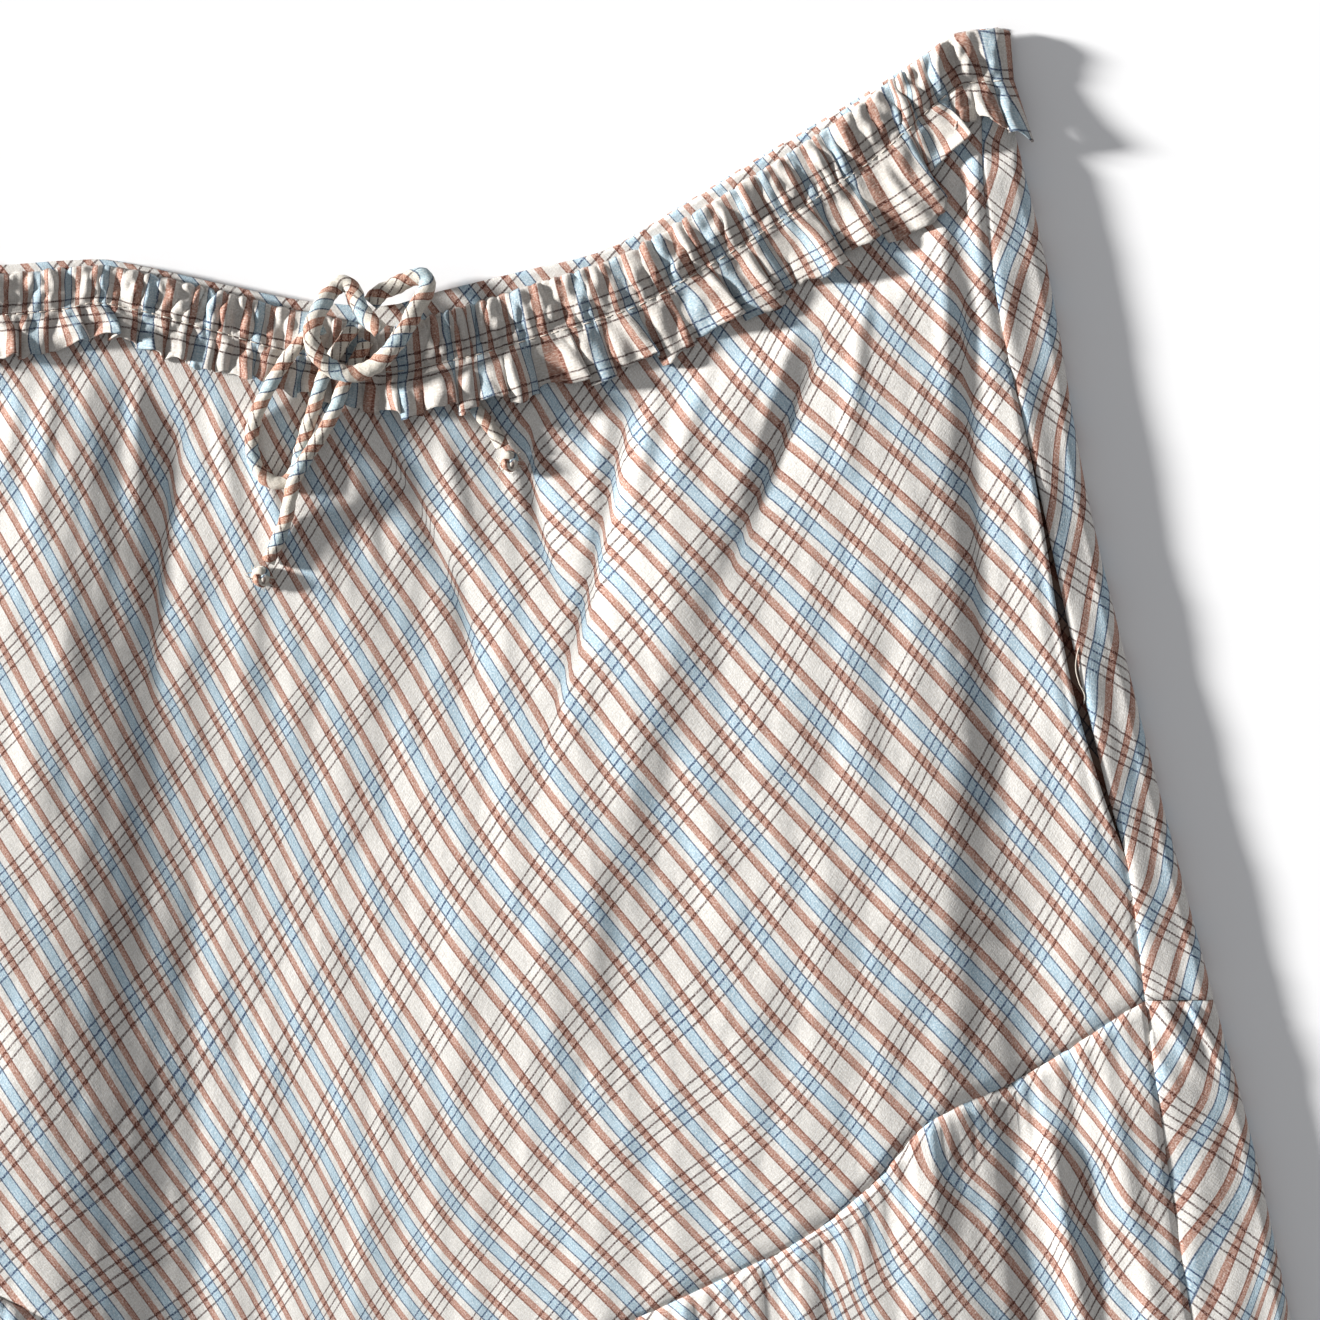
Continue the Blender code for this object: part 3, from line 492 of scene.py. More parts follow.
def rough(x, y, across_size, along_size, seed):
    """Smooth noise from about -1 to 1, with the given sizes of its lumps across and along the skirt."""
    x, y = np.broadcast_arrays(x, y)
    places = zip(np.ravel(x) / across_size, np.ravel(y) / along_size)
    lumps = [noise.noise(Vector((a, b, 7.3 * seed))) for a, b in places]
    return 1.6 * np.array(lumps).reshape(x.shape)


def waist_point(across, depth):
    """The point that lies depth below the waist edge, along the way that the strip hangs there."""
    x = WAIST_HALF * across
    lean = np.radians(WAIST.read("lean", x))
    return x + depth * np.sin(lean), WAIST.read("y", x) - depth * np.cos(lean)


def strip_length(x):
    """How far below the waist edge the frill ends."""
    return sum(WAIST.read(name, x) for name in ("back_shows", "casing", "frill"))


EDGE_STEPS = np.arange(-24, 25) / 24
FRILL_EDGE = Chart(
    ("x", "y"),
    np.column_stack(waist_point(EDGE_STEPS, strip_length(WAIST_HALF * EDGE_STEPS))),
)


def past_frill(x, y, start, run):
    """0 under the frill and for a start below its edge, easing to 1 over a run below that."""
    return smooth((FRILL_EDGE.read("y", x) - y - start) / run)


def beside(x, y, row):
    """How far each point lies right of a line through a row's three places, and its share down it."""
    share = (row["y_top"] - y) / (row["y_top"] - row["y_foot"])
    bend = (row["y_top"] - row["y_mid"]) / (row["y_top"] - row["y_foot"])
    straight = mix(row["x_top"], row["x_foot"], share)
    bow = (row["x_mid"] - mix(row["x_top"], row["x_foot"], bend)) / (bend * (1 - bend))
    return x - straight - bow * share * (1 - share), share


def tucked(x, y):
    """The dip of the tucks at each point, and how far they move the stripes."""
    dip = 0.0 * x
    moved = 0.0 * x
    for tuck in TUCKS:
        row = dict(zip(TUCK_COLUMNS, tuck))
        off, share = beside(x, y, row)
        body = smooth(share / 0.2) * (1 - smooth((share - 0.6) / 0.4))
        dip = dip + body * 0.22 * row["hidden"] * bump(np.minimum(off, 0.6 * off), row["breadth"])
        step = smooth(0.5 + off / row["breadth"]) - 0.5
        moved = moved + body * row["hidden"] * step * np.exp(-np.abs(off) / 9.0)
    return dip, moved


def ridge(x, y, fold):
    """The height of one soft fold at each point."""
    row = dict(zip(FOLD_COLUMNS, fold))
    off, share = beside(x, y, row)
    inside = np.clip(share, 0.0, 1.0)
    breadth = np.where(
        off > 0,
        mix(row["right_top"], row["right_foot"], inside),
        mix(row["left_top"], row["left_foot"], inside),
    )
    flank = 1 - smooth(np.abs(off) / breadth)
    body = smooth((share + 0.1) / 0.18) * (1 - smooth((share - 0.62) / 0.38))
    return mix(row["height_top"], row["height_foot"], inside) * flank * body


def seam_slope(x, y):
    """The front slopes down from the nearer side seam, which the turned-over back holds up."""
    right = (RIGHT_SIDE.read("seam", y) - x) / RIGHT_SIDE.read("slope", y)
    left = (x - LEFT_SIDE.read("seam", y)) / LEFT_SIDE.read("slope", y)
    return SEAM_RISE * (1 - smooth(np.minimum(right, left)))


def relief(x, y, folds):
    """How high the folds and the slope at the seam lift the front: the highest of them, softly joined."""
    total = seam_slope(x, y) ** 4
    for fold in folds:
        total = total + ridge(x, y, fold) ** 4
    return total ** 0.25


def pocket_rise(x, y):
    """The front panel is lifted a little by the pocket bag that lies under it."""
    inside = smooth((RIGHT_SIDE.read("seam", y) + 6 - x) / 4)
    inside = inside * smooth((x - RIGHT_SIDE.read("seam", y) + POCKET_REACH + 6) / 8)
    height = smooth((POCKET_TOP + 8 - y) / 6) * smooth((y - POCKET_FOOT + 8) / 8)
    return POCKET_RISE * inside * height


def front_level(x, y):
    """The middle of the front's wall: under the frill it is flat, below it the folds rise."""
    free = past_frill(x, y, FRONT_START, FRONT_RUN)
    level = mix(FRONT_AT_WAIST, FRONT_LEVEL, free) + pocket_rise(x, y) * free
    return level + relief(x, y, FRONT_FOLDS) * free


def tier_level(x, y, down):
    """The lower tier starts at the upper panel's level, and its own folds rise below its seam."""
    own = relief(x, y, TIER_FOLDS) * smooth(down / 0.06)
    return FRONT_LEVEL + (own ** 4 + relief(x, y, FRONT_FOLDS) ** 4) ** 0.25


def back_level(x, y):
    """The middle of the back's wall: it rests flat, and steps up over the frill under it."""
    return mix(BACK_OVER_FRILL, FLOOR_LEVEL, past_frill(x, y, BACK_START, BACK_RUN))


def upper_point(across, down, top_depth):
    """A point of an upper panel: across from -1 to 1 between the side seams, down from 0 to 1."""
    x_top, y_top = waist_point(across * PANEL_SHARE, top_depth)
    x_foot = mix(*SEAM_ENDS, 0.5 + 0.5 * across)
    return mix(x_top, x_foot, down), mix(y_top, TIER_SEAM.read("y", x_foot), down)


def down_to(across, top_depth, below):
    """How far down an upper panel lies a given way below the frill's edge."""
    low = np.zeros(np.shape(across))
    high = low + 0.5
    for _ in range(20):
        middle = 0.5 * (low + high)
        x, y = upper_point(across, middle, top_depth)
        above = y > FRILL_EDGE.read("y", x) - below
        low = np.where(above, middle, low)
        high = np.where(above, high, middle)
    return middle


def panel_down(across, up, top_depth):
    """How far down an upper panel a grid row lies, spaced as the solid's rows are."""
    covered = down_to(across, top_depth, BACK_START + 0.5)
    settled = down_to(across, top_depth, BACK_START + 10.0)
    row = (0.5 - 0.5 * up) * UPPER_ROWS
    under = covered * row / ROWS_UNDER_FRILL
    settling = mix(covered, settled, row - ROWS_UNDER_FRILL)
    rest = mix(settled, 1.0, (row - ROWS_UNDER_FRILL - 1) / (UPPER_ROWS - ROWS_UNDER_FRILL - 1))
    return np.where(row <= ROWS_UNDER_FRILL, under, np.where(row <= ROWS_UNDER_FRILL + 1, settling, rest))


def tier_point(across, down):
    """A point of the lower tier, down from 0 at its seam to 1 at the hem."""
    x_top = mix(*SEAM_ENDS, 0.5 + 0.5 * across)
    x_foot = HEM_HALF * across
    y_top = TIER_SEAM.read("y", x_top)
    return mix(x_top, x_foot, down), mix(y_top, HEM.read("y", x_foot), down)


def side_column(column, across, y):
    return np.where(across > 0, RIGHT_SIDE.read(column, y), LEFT_SIDE.read(column, y))


def from_seam(x, y):
    """How far inside the nearer side seam a point of the front lies."""
    return np.minimum(RIGHT_SIDE.read("seam", y) - x, x - LEFT_SIDE.read("seam", y))


def crinkled(x, y, seed):
    """The small crinkles of the front's cloth."""
    return 0.35 * rough(x, y, 9, 34, seed) + 0.12 * rough(x, y, 3.2, 9, seed + 1)


def front_row_point(place, across, down, retreat):
    """A point of a front piece, whose rows end on the side seams, less a line's breadth and a retreat."""
    x, y = place(across, down)
    edge_x, edge_y = place(np.sign(across), down)
    target = side_column("seam", across, edge_y) - np.sign(across) * 0.5 * SEAM_LINE
    x = x + (target - edge_x) * across * across
    return x - retreat(edge_y) * np.maximum(across, 0.0) ** 8, y


def front_top_depth(across):
    """How far below the waist edge the front panel starts."""
    return WAIST.read("back_shows", WAIST_HALF * PANEL_SHARE * across) + 1.0


def gather_height(across, down, count, height):
    """Small gathers, strongest a little below the seam, gone a fifth of the way down."""
    turn = (0.5 * count * uneven(across)) % 1.0
    wave = np.where(turn < 0.68, (turn / 0.68) ** 0.8, (np.abs(1 - turn) / 0.32) ** 1.3)
    body = mix(0.35, 1.0, smooth(down / 0.05)) * (1 - smooth((down - 0.05) / 0.22))
    return height * body * wave


def surplus(x, z, spread):
    """How much more cloth lies on the folds than their run shows, less its own average over a spread."""
    run = np.diff(x, axis=1)
    rise = np.diff(z, axis=1)
    more = np.hypot(run, rise) - np.abs(run)
    total = np.concatenate((np.zeros((len(x), 1)), np.cumsum(more, axis=1)), axis=1)
    half = max(int(0.5 * spread / max(np.abs(run).mean(), 1e-6)), 1)
    wide = np.pad(total, ((0, 0), (half, half)), mode="reflect", reflect_type="odd")
    sums = np.cumsum(np.concatenate((np.zeros((len(x), 1)), wide), axis=1), axis=1)
    average = (sums[:, 2 * half + 1:] - sums[:, :-2 * half - 1]) / (2 * half + 1)
    return total - average


def in_metres(points):
    """Points in millimetres, moved to the frame's place."""
    return ((np.asarray(points, float) + FRAME_SHIFT) * MM).tolist()


def choose(pieces):
    """Selects these pieces only, and makes the first of them the active one."""
    for thing in bpy.data.objects:
        thing.select_set(thing in pieces)
    bpy.context.view_layer.objects.active = pieces[0]


def finished(name, verts, faces, counts, surface):
    """A chosen piece with a surface and, at each corner of its faces, its counts of wide and thin repeats
    as its map."""
    mesh = bpy.data.meshes.new(name)
    mesh.from_pydata(in_metres(verts), [], faces)
    mesh.validate()
    mesh.uv_layers.new(name="plaid").data.foreach_set("uv", np.ravel(counts))
    mesh.shade_smooth()
    mesh.materials.append(surface)
    piece = bpy.data.objects.new(name, mesh)
    bpy.context.scene.collection.objects.link(piece)
    choose([piece])
    return piece


def cloth_piece(name, x, y, z, courses, surface):
    """A shell through a grid of places, with its counts of repeats."""
    rows, columns = x.shape
    verts, counts = (np.column_stack([part.ravel() for part in parts]) for parts in ((x, y, z), courses))
    corner = (np.arange(rows - 1)[:, None] * columns + np.arange(columns - 1)[None]).ravel()
    faces = np.column_stack((corner, corner + columns, corner + columns + 1, corner + 1))
    piece = finished(name, verts, faces.tolist(), counts[faces.ravel()], surface)
    if piece.data.polygons[len(faces) // 2].normal.z < 0:
        piece.data.flip_normals()
    shell = piece.modifiers.new("wall", "SOLIDIFY")
    shell.thickness = CLOTH_WALL * MM
    shell.offset = 0.0
    bpy.ops.object.modifier_apply(modifier=shell.name)
    return piece


def front_upper_panel(surface):
    """The front upper panel, from the casing's top edge to the tier seam, with its crinkles and creases."""
    across, up = np.meshgrid(FRONT_ACROSS, np.linspace(1, -1, 173))
    down = panel_down(across, up, front_top_depth(across))
    place = lambda a, d: upper_point(a, d, front_top_depth(a))
    x, y = front_row_point(place, across, down, lambda at: POCKET_MOUTH.read("gape", at))
    free = past_frill(x, y, FRONT_START, FRONT_RUN)
    creases = sum(ridge(x, y, fold) for fold in FRONT_CREASES)
    dip, moved = tucked(x, y)
    z = front_level(x, y) + free * (creases - dip + crinkled(x, y, 1) + 0.16 * rough(x, y, 26, 5, 3))
    inward = RIGHT_SIDE.read("seam", y) - x
    mouth = smooth(POCKET_MOUTH.read("gape", y) / 0.8)
    z = z + mouth * (0.9 * bump(inward - 1.5, 1.6) + 0.5 * bump(inward - 7.0, 1.1))
    z = z - 0.5 * bump(from_seam(x, y), 0.8) * (1 - mouth)
    z = z - 0.9 * smooth((down - 0.985) / 0.015)
    shift = surplus(x, z, 60) + moved * free
    courses = FRONT_WIDE.read(x + shift, y), FRONT_THIN.read(x + shift, y)
    return cloth_piece("front_upper_cloth", x, y, z, courses, surface)


def front_lower_tier(surface):
    """The front lower tier, gathered along its seam."""
    across, down = np.meshgrid(FRONT_ACROSS, steps(0.0, (0.24, 84), (1.0, 92)))
    x, y = front_row_point(tier_point, across, down, lambda at: 0.0)
    ends = 1 - np.abs(across) ** 24
    strength = np.clip(0.9 + 0.8 * rough(x, 0.0 * y, 13, 40, 24), 0.15, 1.8)
    z = tier_level(x, y, down) + gather_height(across, down, TIER_GATHERS, 1.5) * ends * strength
    fine = np.sin(2 * np.pi * (46 * uneven(across) + 0.2 * np.sin(5 * across)))
    z = z + 0.35 * fine * ends * (1 - smooth((down - 0.01) / 0.06)) * smooth((down + 0.004) / 0.01)
    z = z + crinkled(x, y, 4) - 1.0 * (1 - smooth(down / 0.006)) - 0.5 * bump(from_seam(x, y), 0.8)
    shift = surplus(x, z, 60)
    courses = TIER_WIDE.read(x + shift, y), TIER_THIN.read(x + shift, y)
    return cloth_piece("front_lower_cloth", x, y - SEAM_LINE * (1 - down), z, courses, surface)


RIGHT_HALF = steps(0.0, (REST_SHARE, 34), (ROLL_SHARE, 15), (1.0, 17))
BACK_ACROSS = np.concatenate((-RIGHT_HALF[:0:-1], RIGHT_HALF))


def around(across, down, place, front):
    """The points of a back piece, whose rows run from one front seam under the skirt to the other, and
    how far across the cloth each one lies from the skirt's middle line."""
    side = np.where(across < 0, -1.0, 1.0)
    part = np.abs(across)
    edge_x, edge_y = place(side, down)
    outline = side_column("outline", side, edge_y)
    seam = side_column("seam", side, edge_y) + side * 0.5 * SEAM_LINE
    roll = mix(SIDE_ROLL_AT_WAIST, SIDE_ROLL, past_frill(seam, edge_y, BACK_START, BACK_RUN))
    floor = back_level(outline, edge_y)
    share = np.clip(part / REST_SHARE, 0, 1)
    rest_x, rest_y = place(side * share, down)
    rest_x = rest_x + (outline - side * roll - edge_x) * share * share
    turn = np.pi * np.clip((part - REST_SHARE) / (ROLL_SHARE - REST_SHARE), 0, 1)
    roll_x = outline - side * roll * (1 - np.sin(turn))
    roll_z = floor + roll * (1 - np.cos(turn))
    over = np.clip((part - ROLL_SHARE) / (1 - ROLL_SHARE), 0, 1)
    strip_x = mix(outline - side * roll, seam, over)
    strip_z = mix(floor + 2 * roll, front(seam, edge_y, down), smooth(over))
    resting, rolling = part <= REST_SHARE, part <= ROLL_SHARE
    x = np.where(resting, rest_x, np.where(rolling, roll_x, strip_x))
    y = np.where(resting, rest_y, edge_y)
    z = np.where(resting, back_level(rest_x, rest_y), np.where(rolling, roll_z, strip_z))
    turned = side * (2 * (outline - side * roll) - strip_x) + np.pi * roll
    reach = np.where(resting, side * rest_x, side * (outline - side * roll) + roll * turn)
    reach = np.where(rolling, reach, turned)
    return x, y, z, side * reach


def seen_from_seam(y, reach):
    """Counts the back's cloth from the right side seam outwards, as the strip beside it shows it."""
    return 2 * RIGHT_SIDE.read("outline", y) + (np.pi - 2) * SIDE_ROLL - reach


def on_back(x, y, across, strength, seed):
    """How far a point of a back piece has come round on top, and the crinkles and the seam's line there."""
    on_top = smooth((np.abs(across) - ROLL_SHARE + 0.12) / 0.12)
    crinkles = strength * rough(x, y, 8, 26, seed) + 0.1 * rough(x, y, 3, 8, seed + 1)
    return on_top, on_top * crinkles - 0.5 * bump(np.abs(across) - 1, 0.012)


def back_upper_panel(surface):
    """The back upper panel, which wraps round both side folds to the side seams."""
    across, up = np.meshgrid(BACK_ACROSS, np.linspace(1, -1, 166))
    down = panel_down(np.clip(across / REST_SHARE, -1, 1), up, 0.0)
    place = lambda a, d: upper_point(a, d, 0.0)
    x, y, z, reach = around(across, down, place, lambda at_x, at_y, _: front_level(at_x, at_y))
    z = z + on_back(x, y, across, 0.3, 6)[1]
    away = seen_from_seam(y, reach)
    courses = STRIP_WIDE.read(away, y), STRIP_THIN.read(away, y)
    return cloth_piece("back_upper_cloth", x, y, z, courses, surface)


def back_lower_tier(surface):
    """The back lower tier, puckered along its seam where it has come round on top."""
    across, down = np.meshgrid(BACK_ACROSS, steps(0.0, (0.24, 70), (1.0, 70)))
    x, y, z, reach = around(across, down, tier_point, tier_level)
    on_top, crinkles = on_back(x, y, across, 0.35, 8)
    puckers = np.maximum(np.sin(2 * np.pi * reach / 7.5 + 0.8 * np.sin(reach / 3)), -0.4)
    z = z + crinkles + 0.9 * on_top * puckers * (1 - smooth((down - 0.012) / 0.05)) * smooth(down / 0.008)
    z = z - 0.5 * on_top * (1 - smooth(down / 0.006))
    away = seen_from_seam(y, reach)
    courses = LOW_STRIP_WIDE.read(away, y), LOW_STRIP_THIN.read(away, y)
    return cloth_piece("back_lower_cloth", x, y - SEAM_LINE * (1 - down), z, courses, surface)


def strip_count(x):
    """The number of wide repeats along the waist strip, which its gathers crowd unevenly."""
    first, last = BAND_BLUE[0], BAND_BLUE[-1]
    inside = np.interp(x, BAND_BLUE, np.arange(len(BAND_BLUE)))
    before = np.minimum(x - first, 0) / BAND_PITCH
    after = np.maximum(x - last, 0) / BAND_PITCH
    return inside + before + after


def short_end_lift(x):
    """How far the drawstring's short end holds the frill up."""
    middle, reach, height = SHORT_END_LIFT
    return height * (1 - smooth((np.abs(x - middle) - reach) / 5.0))


def wave_count(x, pitch_left, pitch_right, jitter, seed):
    """How many waves lie between the left corner and a place, closer on the left than on the right."""
    pitch = mix(pitch_left, pitch_right, smooth((x + 60) / 120))
    uneven_pitch = pitch * (1 + jitter * np.sin(0.21 * x + seed) + jitter * np.sin(0.083 * x + 2 * seed))
    steps = np.diff(x, axis=-1, prepend=x[..., :1])
    return np.cumsum(steps / uneven_pitch, axis=-1)


def flare_columns():
    """The cloth's columns along the waist strip: the flare that each belongs to, its share of that flare
    from left to right, its place along the waist edge and the flare's breadth."""
    trial = np.linspace(-STRIP_HALF, STRIP_HALF, 400)
    at_edge = np.maximum.accumulate(waist_point(trial / WAIST_HALF, strip_length(trial))[0])
    ends = (-STRIP_HALF, *np.interp(FLARE_ENDS, at_edge, trial), STRIP_HALF)
    columns = []
    for flare, (left, right) in enumerate(zip(ends, ends[1:])):
        breadth = right - left
        count = max(round(breadth / (0.40 if right < -100 else 0.275)), 3)
        shares = (step / count for step in range(count))
        columns.extend((flare, share, left + share * breadth, breadth) for share in shares)
    return np.array(columns).T


def pleated_casing(along, casing):
    """The heights of the casing, of its stitch line and of its pleats' crests, with the pleats' strength
    at the top edge and down the casing. casing runs from 0 at that edge to 1 at the stitch line."""
    across = along / STRIP_HALF
    slip = 0.10 * np.sin(0.33 * along) * casing + 0.60 * rough(along, 10 * casing, 7, 6, 21)
    crest = np.abs(np.sin(np.pi * (wave_count(along, 4.3, 3.7, 0.20, 1.3) + slip))) ** 0.8
    strength = 1.12 + 0.45 * np.sin(0.11 * along + 0.4) + 0.35 * np.sin(0.29 * along)
    strength = strength * (1 - 0.8 * smooth((across - 0.90) / 0.05))
    strength = strength * np.clip(1 + 0.7 * rough(along, 10 * casing, 4.5, 7, 22), 0.2, 1.7)
    drawn = strength * (0.35 + 0.65 * np.sin(np.pi * np.clip(casing * 0.9 + 0.04, 0, 1)))
    z = CASING_BASE + 0.9 * np.sin(np.pi * casing ** 0.8) + crest * drawn
    body = np.sin(np.pi * np.clip(0.15 + 0.85 * casing, 0, 1))
    for place, breadth, depth in BAND_FOLDS:
        middle = place + (1.0 + 2.4 * math.sin(place)) * (casing - 0.5)
        z = z - 1.3 * depth * body * bump(along - middle, 0.7 * breadth)
    z = z + 0.85 * rough(along, 10 * casing, 2.2, 3.2, 15)
    z = z + 1.3 * np.clip((1 - across) / 0.08, 0, 1) * smooth((across - 0.885) / 0.035)
    stitch_z = STITCH_BASE + 0.55 * crest
    z = mix(np.maximum(z, CASING_LOWEST), stitch_z, smooth((casing - 0.80) / 0.20))
    return z, stitch_z, crest, strength, drawn


def leaning_flares(flare, share, along, breadth, frill):
    """The frill's flares: their height, their form across, how much shorter they make the frill look and
    how far they lean. frill runs from 0 at the stitch line to 1 at the frill's edge."""
    broad = smooth((breadth - 6.0) / 4.0)
    tall = np.clip(0.40 * breadth, 2.0, 4.6) * (1 + 0.22 * np.sin(2.4 * flare + 1.0))
    tall = tall * (1 - 0.35 * bump(along + 9, 15)) * (1 + 0.8 * bump(along - 156, 3))
    tab = 1 - np.abs(2 * share - 1) ** 3.0
    leaning = np.where(share < 0.72, smooth(share / 0.72) ** 0.8, 1 - smooth((share - 0.72) / 0.28))
    form = mix(tab, leaning, broad)
    height = tall * form * frill ** 0.85
    shorter = frill * (0.16 * tall * form + 0.05 * breadth * broad * smooth(share / 0.8))
    lean = mix(0.35 * np.sin(2.7 * flare), 1.05 + 0.35 * np.sin(1.3 * flare), broad)
    return height, form, shorter, lean * height


def front_waist_strip(surface):
    """The front waist strip: a pleated casing, a stitch line that draws it in, and a frill of flares that
    lean over to the right. Gives the strip and the points of its stitch line."""
    flare, share, along, breadth = flare_columns()
    row = steps(-0.2, (0.0, 4), (1.0, 16), (2.0, 21))[:, None]
    casing = np.clip(row, 0, 1)
    frill = np.clip(row - 1, 0, 1)
    rolled = np.clip(-row / 0.2, 0, 1)
    across = along / STRIP_HALF
    ends = 1 - smooth((np.abs(across) - 0.975) / 0.025)
    right, left = (smooth((side * across - 0.93) / 0.07) for side in (1, -1))
    casing_z, stitch_z, crest, strength, drawn = pleated_casing(along, casing)
    height, form, shorter, leant = leaning_flares(flare, share, along, breadth, frill)

    frill_z = mix(stitch_z, FRILL_REST, smooth(frill / 0.3)) + height
    frill_z = frill_z + 1.15 * rough(along, 14 * frill, 2.8, 7, 11) * smooth(frill / 0.25)
    frill_z = frill_z + 1.1 * smooth((frill - 0.72) / 0.28) * np.sin(1.9 * flare) * form
    z = np.where(row > 1, np.maximum(frill_z, FRILL_LOWEST), casing_z - 2.8 * rolled * rolled)
    z = z + short_end_lift(along) * smooth(frill / 0.36)

    depth = WAIST.read("back_shows", along) + casing * WAIST.read("casing", along)
    depth = depth + frill * WAIST.read("frill", along) * (1 + 0.07 * np.sin(3.1 * flare)) - shorter
    depth = depth - 0.6 * rolled - (0.7 * crest - 0.5) * strength * (1 - casing) ** 3
    depth = depth + frill * 1.2 * rough(along, 6 * frill, 3.2, 14, 23) + 4.4 * frill * right
    depth = depth + 0.9 * (1 - casing) * smooth((across - 0.985) / 0.015)
    x, y = waist_point(along / WAIST_HALF, depth)
    sway = frill ** 0.85 * np.sin(1.7 * flare + 4 * frill) * (1 - np.abs(2 * share - 1))
    slant = (crest - 0.5) * drawn * (1 - frill) * np.sin(0.05 * along + 1.2)
    x = x + (leant + 0.8 * sway + 0.45 * slant) * ends
    x = x + mix(2.0, 6.2, frill) * right - mix(0.6, 3.4, frill) * left
    turn = 0.5 * np.pi * np.clip((np.abs(across) - 0.986) / 0.014, 0, 1)
    x = x + np.sign(across) * 1.6 * np.sin(turn)
    z = z - (z - ENDS_LEVEL) * (1 - np.cos(turn)) * (1 - 0.6 * frill)

    in_casing = surplus(along[None], z[MIDDLE_ROW][None], 14)
    in_frill = surplus(x[-1][None], z[-1][None], 30)
    fanned = 2.0 * (1 - frill) * right - 5.0 * (casing - 0.5) * bump(along - 149, 6.5)
    wide = strip_count(along + fanned) + mix(in_casing, in_frill, smooth(frill / 0.4)) / WIDE_REPEAT
    thin_at = BAND_THIN_AT + 2.7 * right
    thin = (depth + shorter - WAIST.read("back_shows", along) - thin_at) / THIN_REPEAT
    strip = cloth_piece("front_waist_cloth", x, y, z, (wide, thin), surface)
    return strip, np.column_stack((x[STITCH_ROW], y[STITCH_ROW], z[STITCH_ROW]))


def shirring(line, surface):
    """Pale elastic stitches that sit in the line between casing and frill."""
    parts = []
    for start in np.arange(2.0, run_along(line)[-1] - 4.0, STITCH_PITCH):
        points = points_at(start + np.linspace(0, STITCH_LENGTH, 5), line)
        points[:, 2] += 0.34 + 0.12 * np.sin(np.linspace(0, np.pi, 5))
        parts.append(tube("stitch", points, 0.17, 5, surface))
    return joined("shirring_stitches", parts)


def back_waist_strip(surface):
    """The back waist strip, flat under the back panel."""
    across, row = np.meshgrid(np.linspace(-1, 1, 401), np.linspace(0, 2, 19))
    x_at = WAIST_HALF * across
    casing, frill = np.clip(row, 0, 1), np.clip(row - 1, 0, 1)
    depth = casing * WAIST.read("casing", x_at) + frill * WAIST.read("frill", x_at)
    x, y = waist_point(across * 0.992, depth)
    ends = 1 - smooth((np.abs(across) - 0.93) / 0.05)
    pleats = wave_count(x_at, 8.0, 11.0, 0.2, 0.7)
    z = FLOOR_LEVEL + 0.7 * (0.5 + 0.5 * np.sin(2 * np.pi * pleats)) * ends
    courses = x_at / BAND_PITCH, (depth - BAND_THIN_AT) / THIN_REPEAT
    return cloth_piece("back_waist_cloth", x, y, z, courses, surface)


def pocket_lining(surface):
    """The pocket bag, seen in the slit."""
    across, down = np.meshgrid(np.linspace(-1, 1, 61), np.linspace(0, 1, 81))
    y = mix(POCKET_TOP, POCKET_FOOT, down)
    mouth = RIGHT_SIDE.read("seam", y) + POCKET_TUCK
    reach = POCKET_REACH * (0.72 + 0.28 * np.sin(np.pi * np.minimum(0.15 + 0.75 * down, 1.0)))
    x = mix(mouth - reach, mouth, 0.5 + 0.5 * across)
    top = np.minimum(POCKET_TOP, FRILL_EDGE.read("y", x) - POCKET_BELOW_FRILL)
    y = mix(top, POCKET_FOOT, down)
    inward = RIGHT_SIDE.read("seam", y) - x
    raised = smooth(1 - (inward - 1) / 9) * smooth(1 + (inward + 1) / 3)
    raised = raised * smooth(POCKET_MOUTH.read("gape", y))
    z = POCKET_LEVEL + 3.0 * raised + 0.15 * rough(x, y, 6, 20, 14)
    courses = FRONT_WIDE.read(x, y), FRONT_THIN.read(x, y)
    return cloth_piece("pocket_cloth", x, y, z, courses, surface)


def run_along(points):
    """How far along a line each of its points lies."""
    return np.concatenate(([0.0], np.cumsum(np.linalg.norm(np.diff(points, axis=0), axis=1))))


def points_at(goals, points):
    """The points that lie given ways along a line."""
    lengths = run_along(points)
    return np.column_stack([np.interp(goals, lengths, points[:, axis]) for axis in range(3)])


def trees_of(pieces):
    """Search trees of the pieces that a cord can lie on."""
    return [
        BVHTree.FromPolygons([v.co for v in p.data.vertices], [q.vertices for q in p.data.polygons])
        for p in pieces
    ]


def resting_height(x, y, radius, trees):
    """How high the middle of a ball lies when it is let down on the cloth at a point."""
    height = radius
    for ring, count in ((0.0, 1), (0.5, 6), (0.85, 9)):
        reach = ring * radius
        rise = math.sqrt(max(radius ** 2 - reach ** 2, 0.0))
        for step in range(count):
            turn = 2 * math.pi * step / count
            spot = FRAME_SHIFT + (x + reach * math.cos(turn), y + reach * math.sin(turn), 100.0)
            for tree in trees:
                struck = tree.ray_cast(Vector(spot) * MM, Vector((0.0, 0.0, -1.0)))[0]
                if struck is not None:
                    height = max(height, struck.z / MM + rise)
    return height + CORD_REST


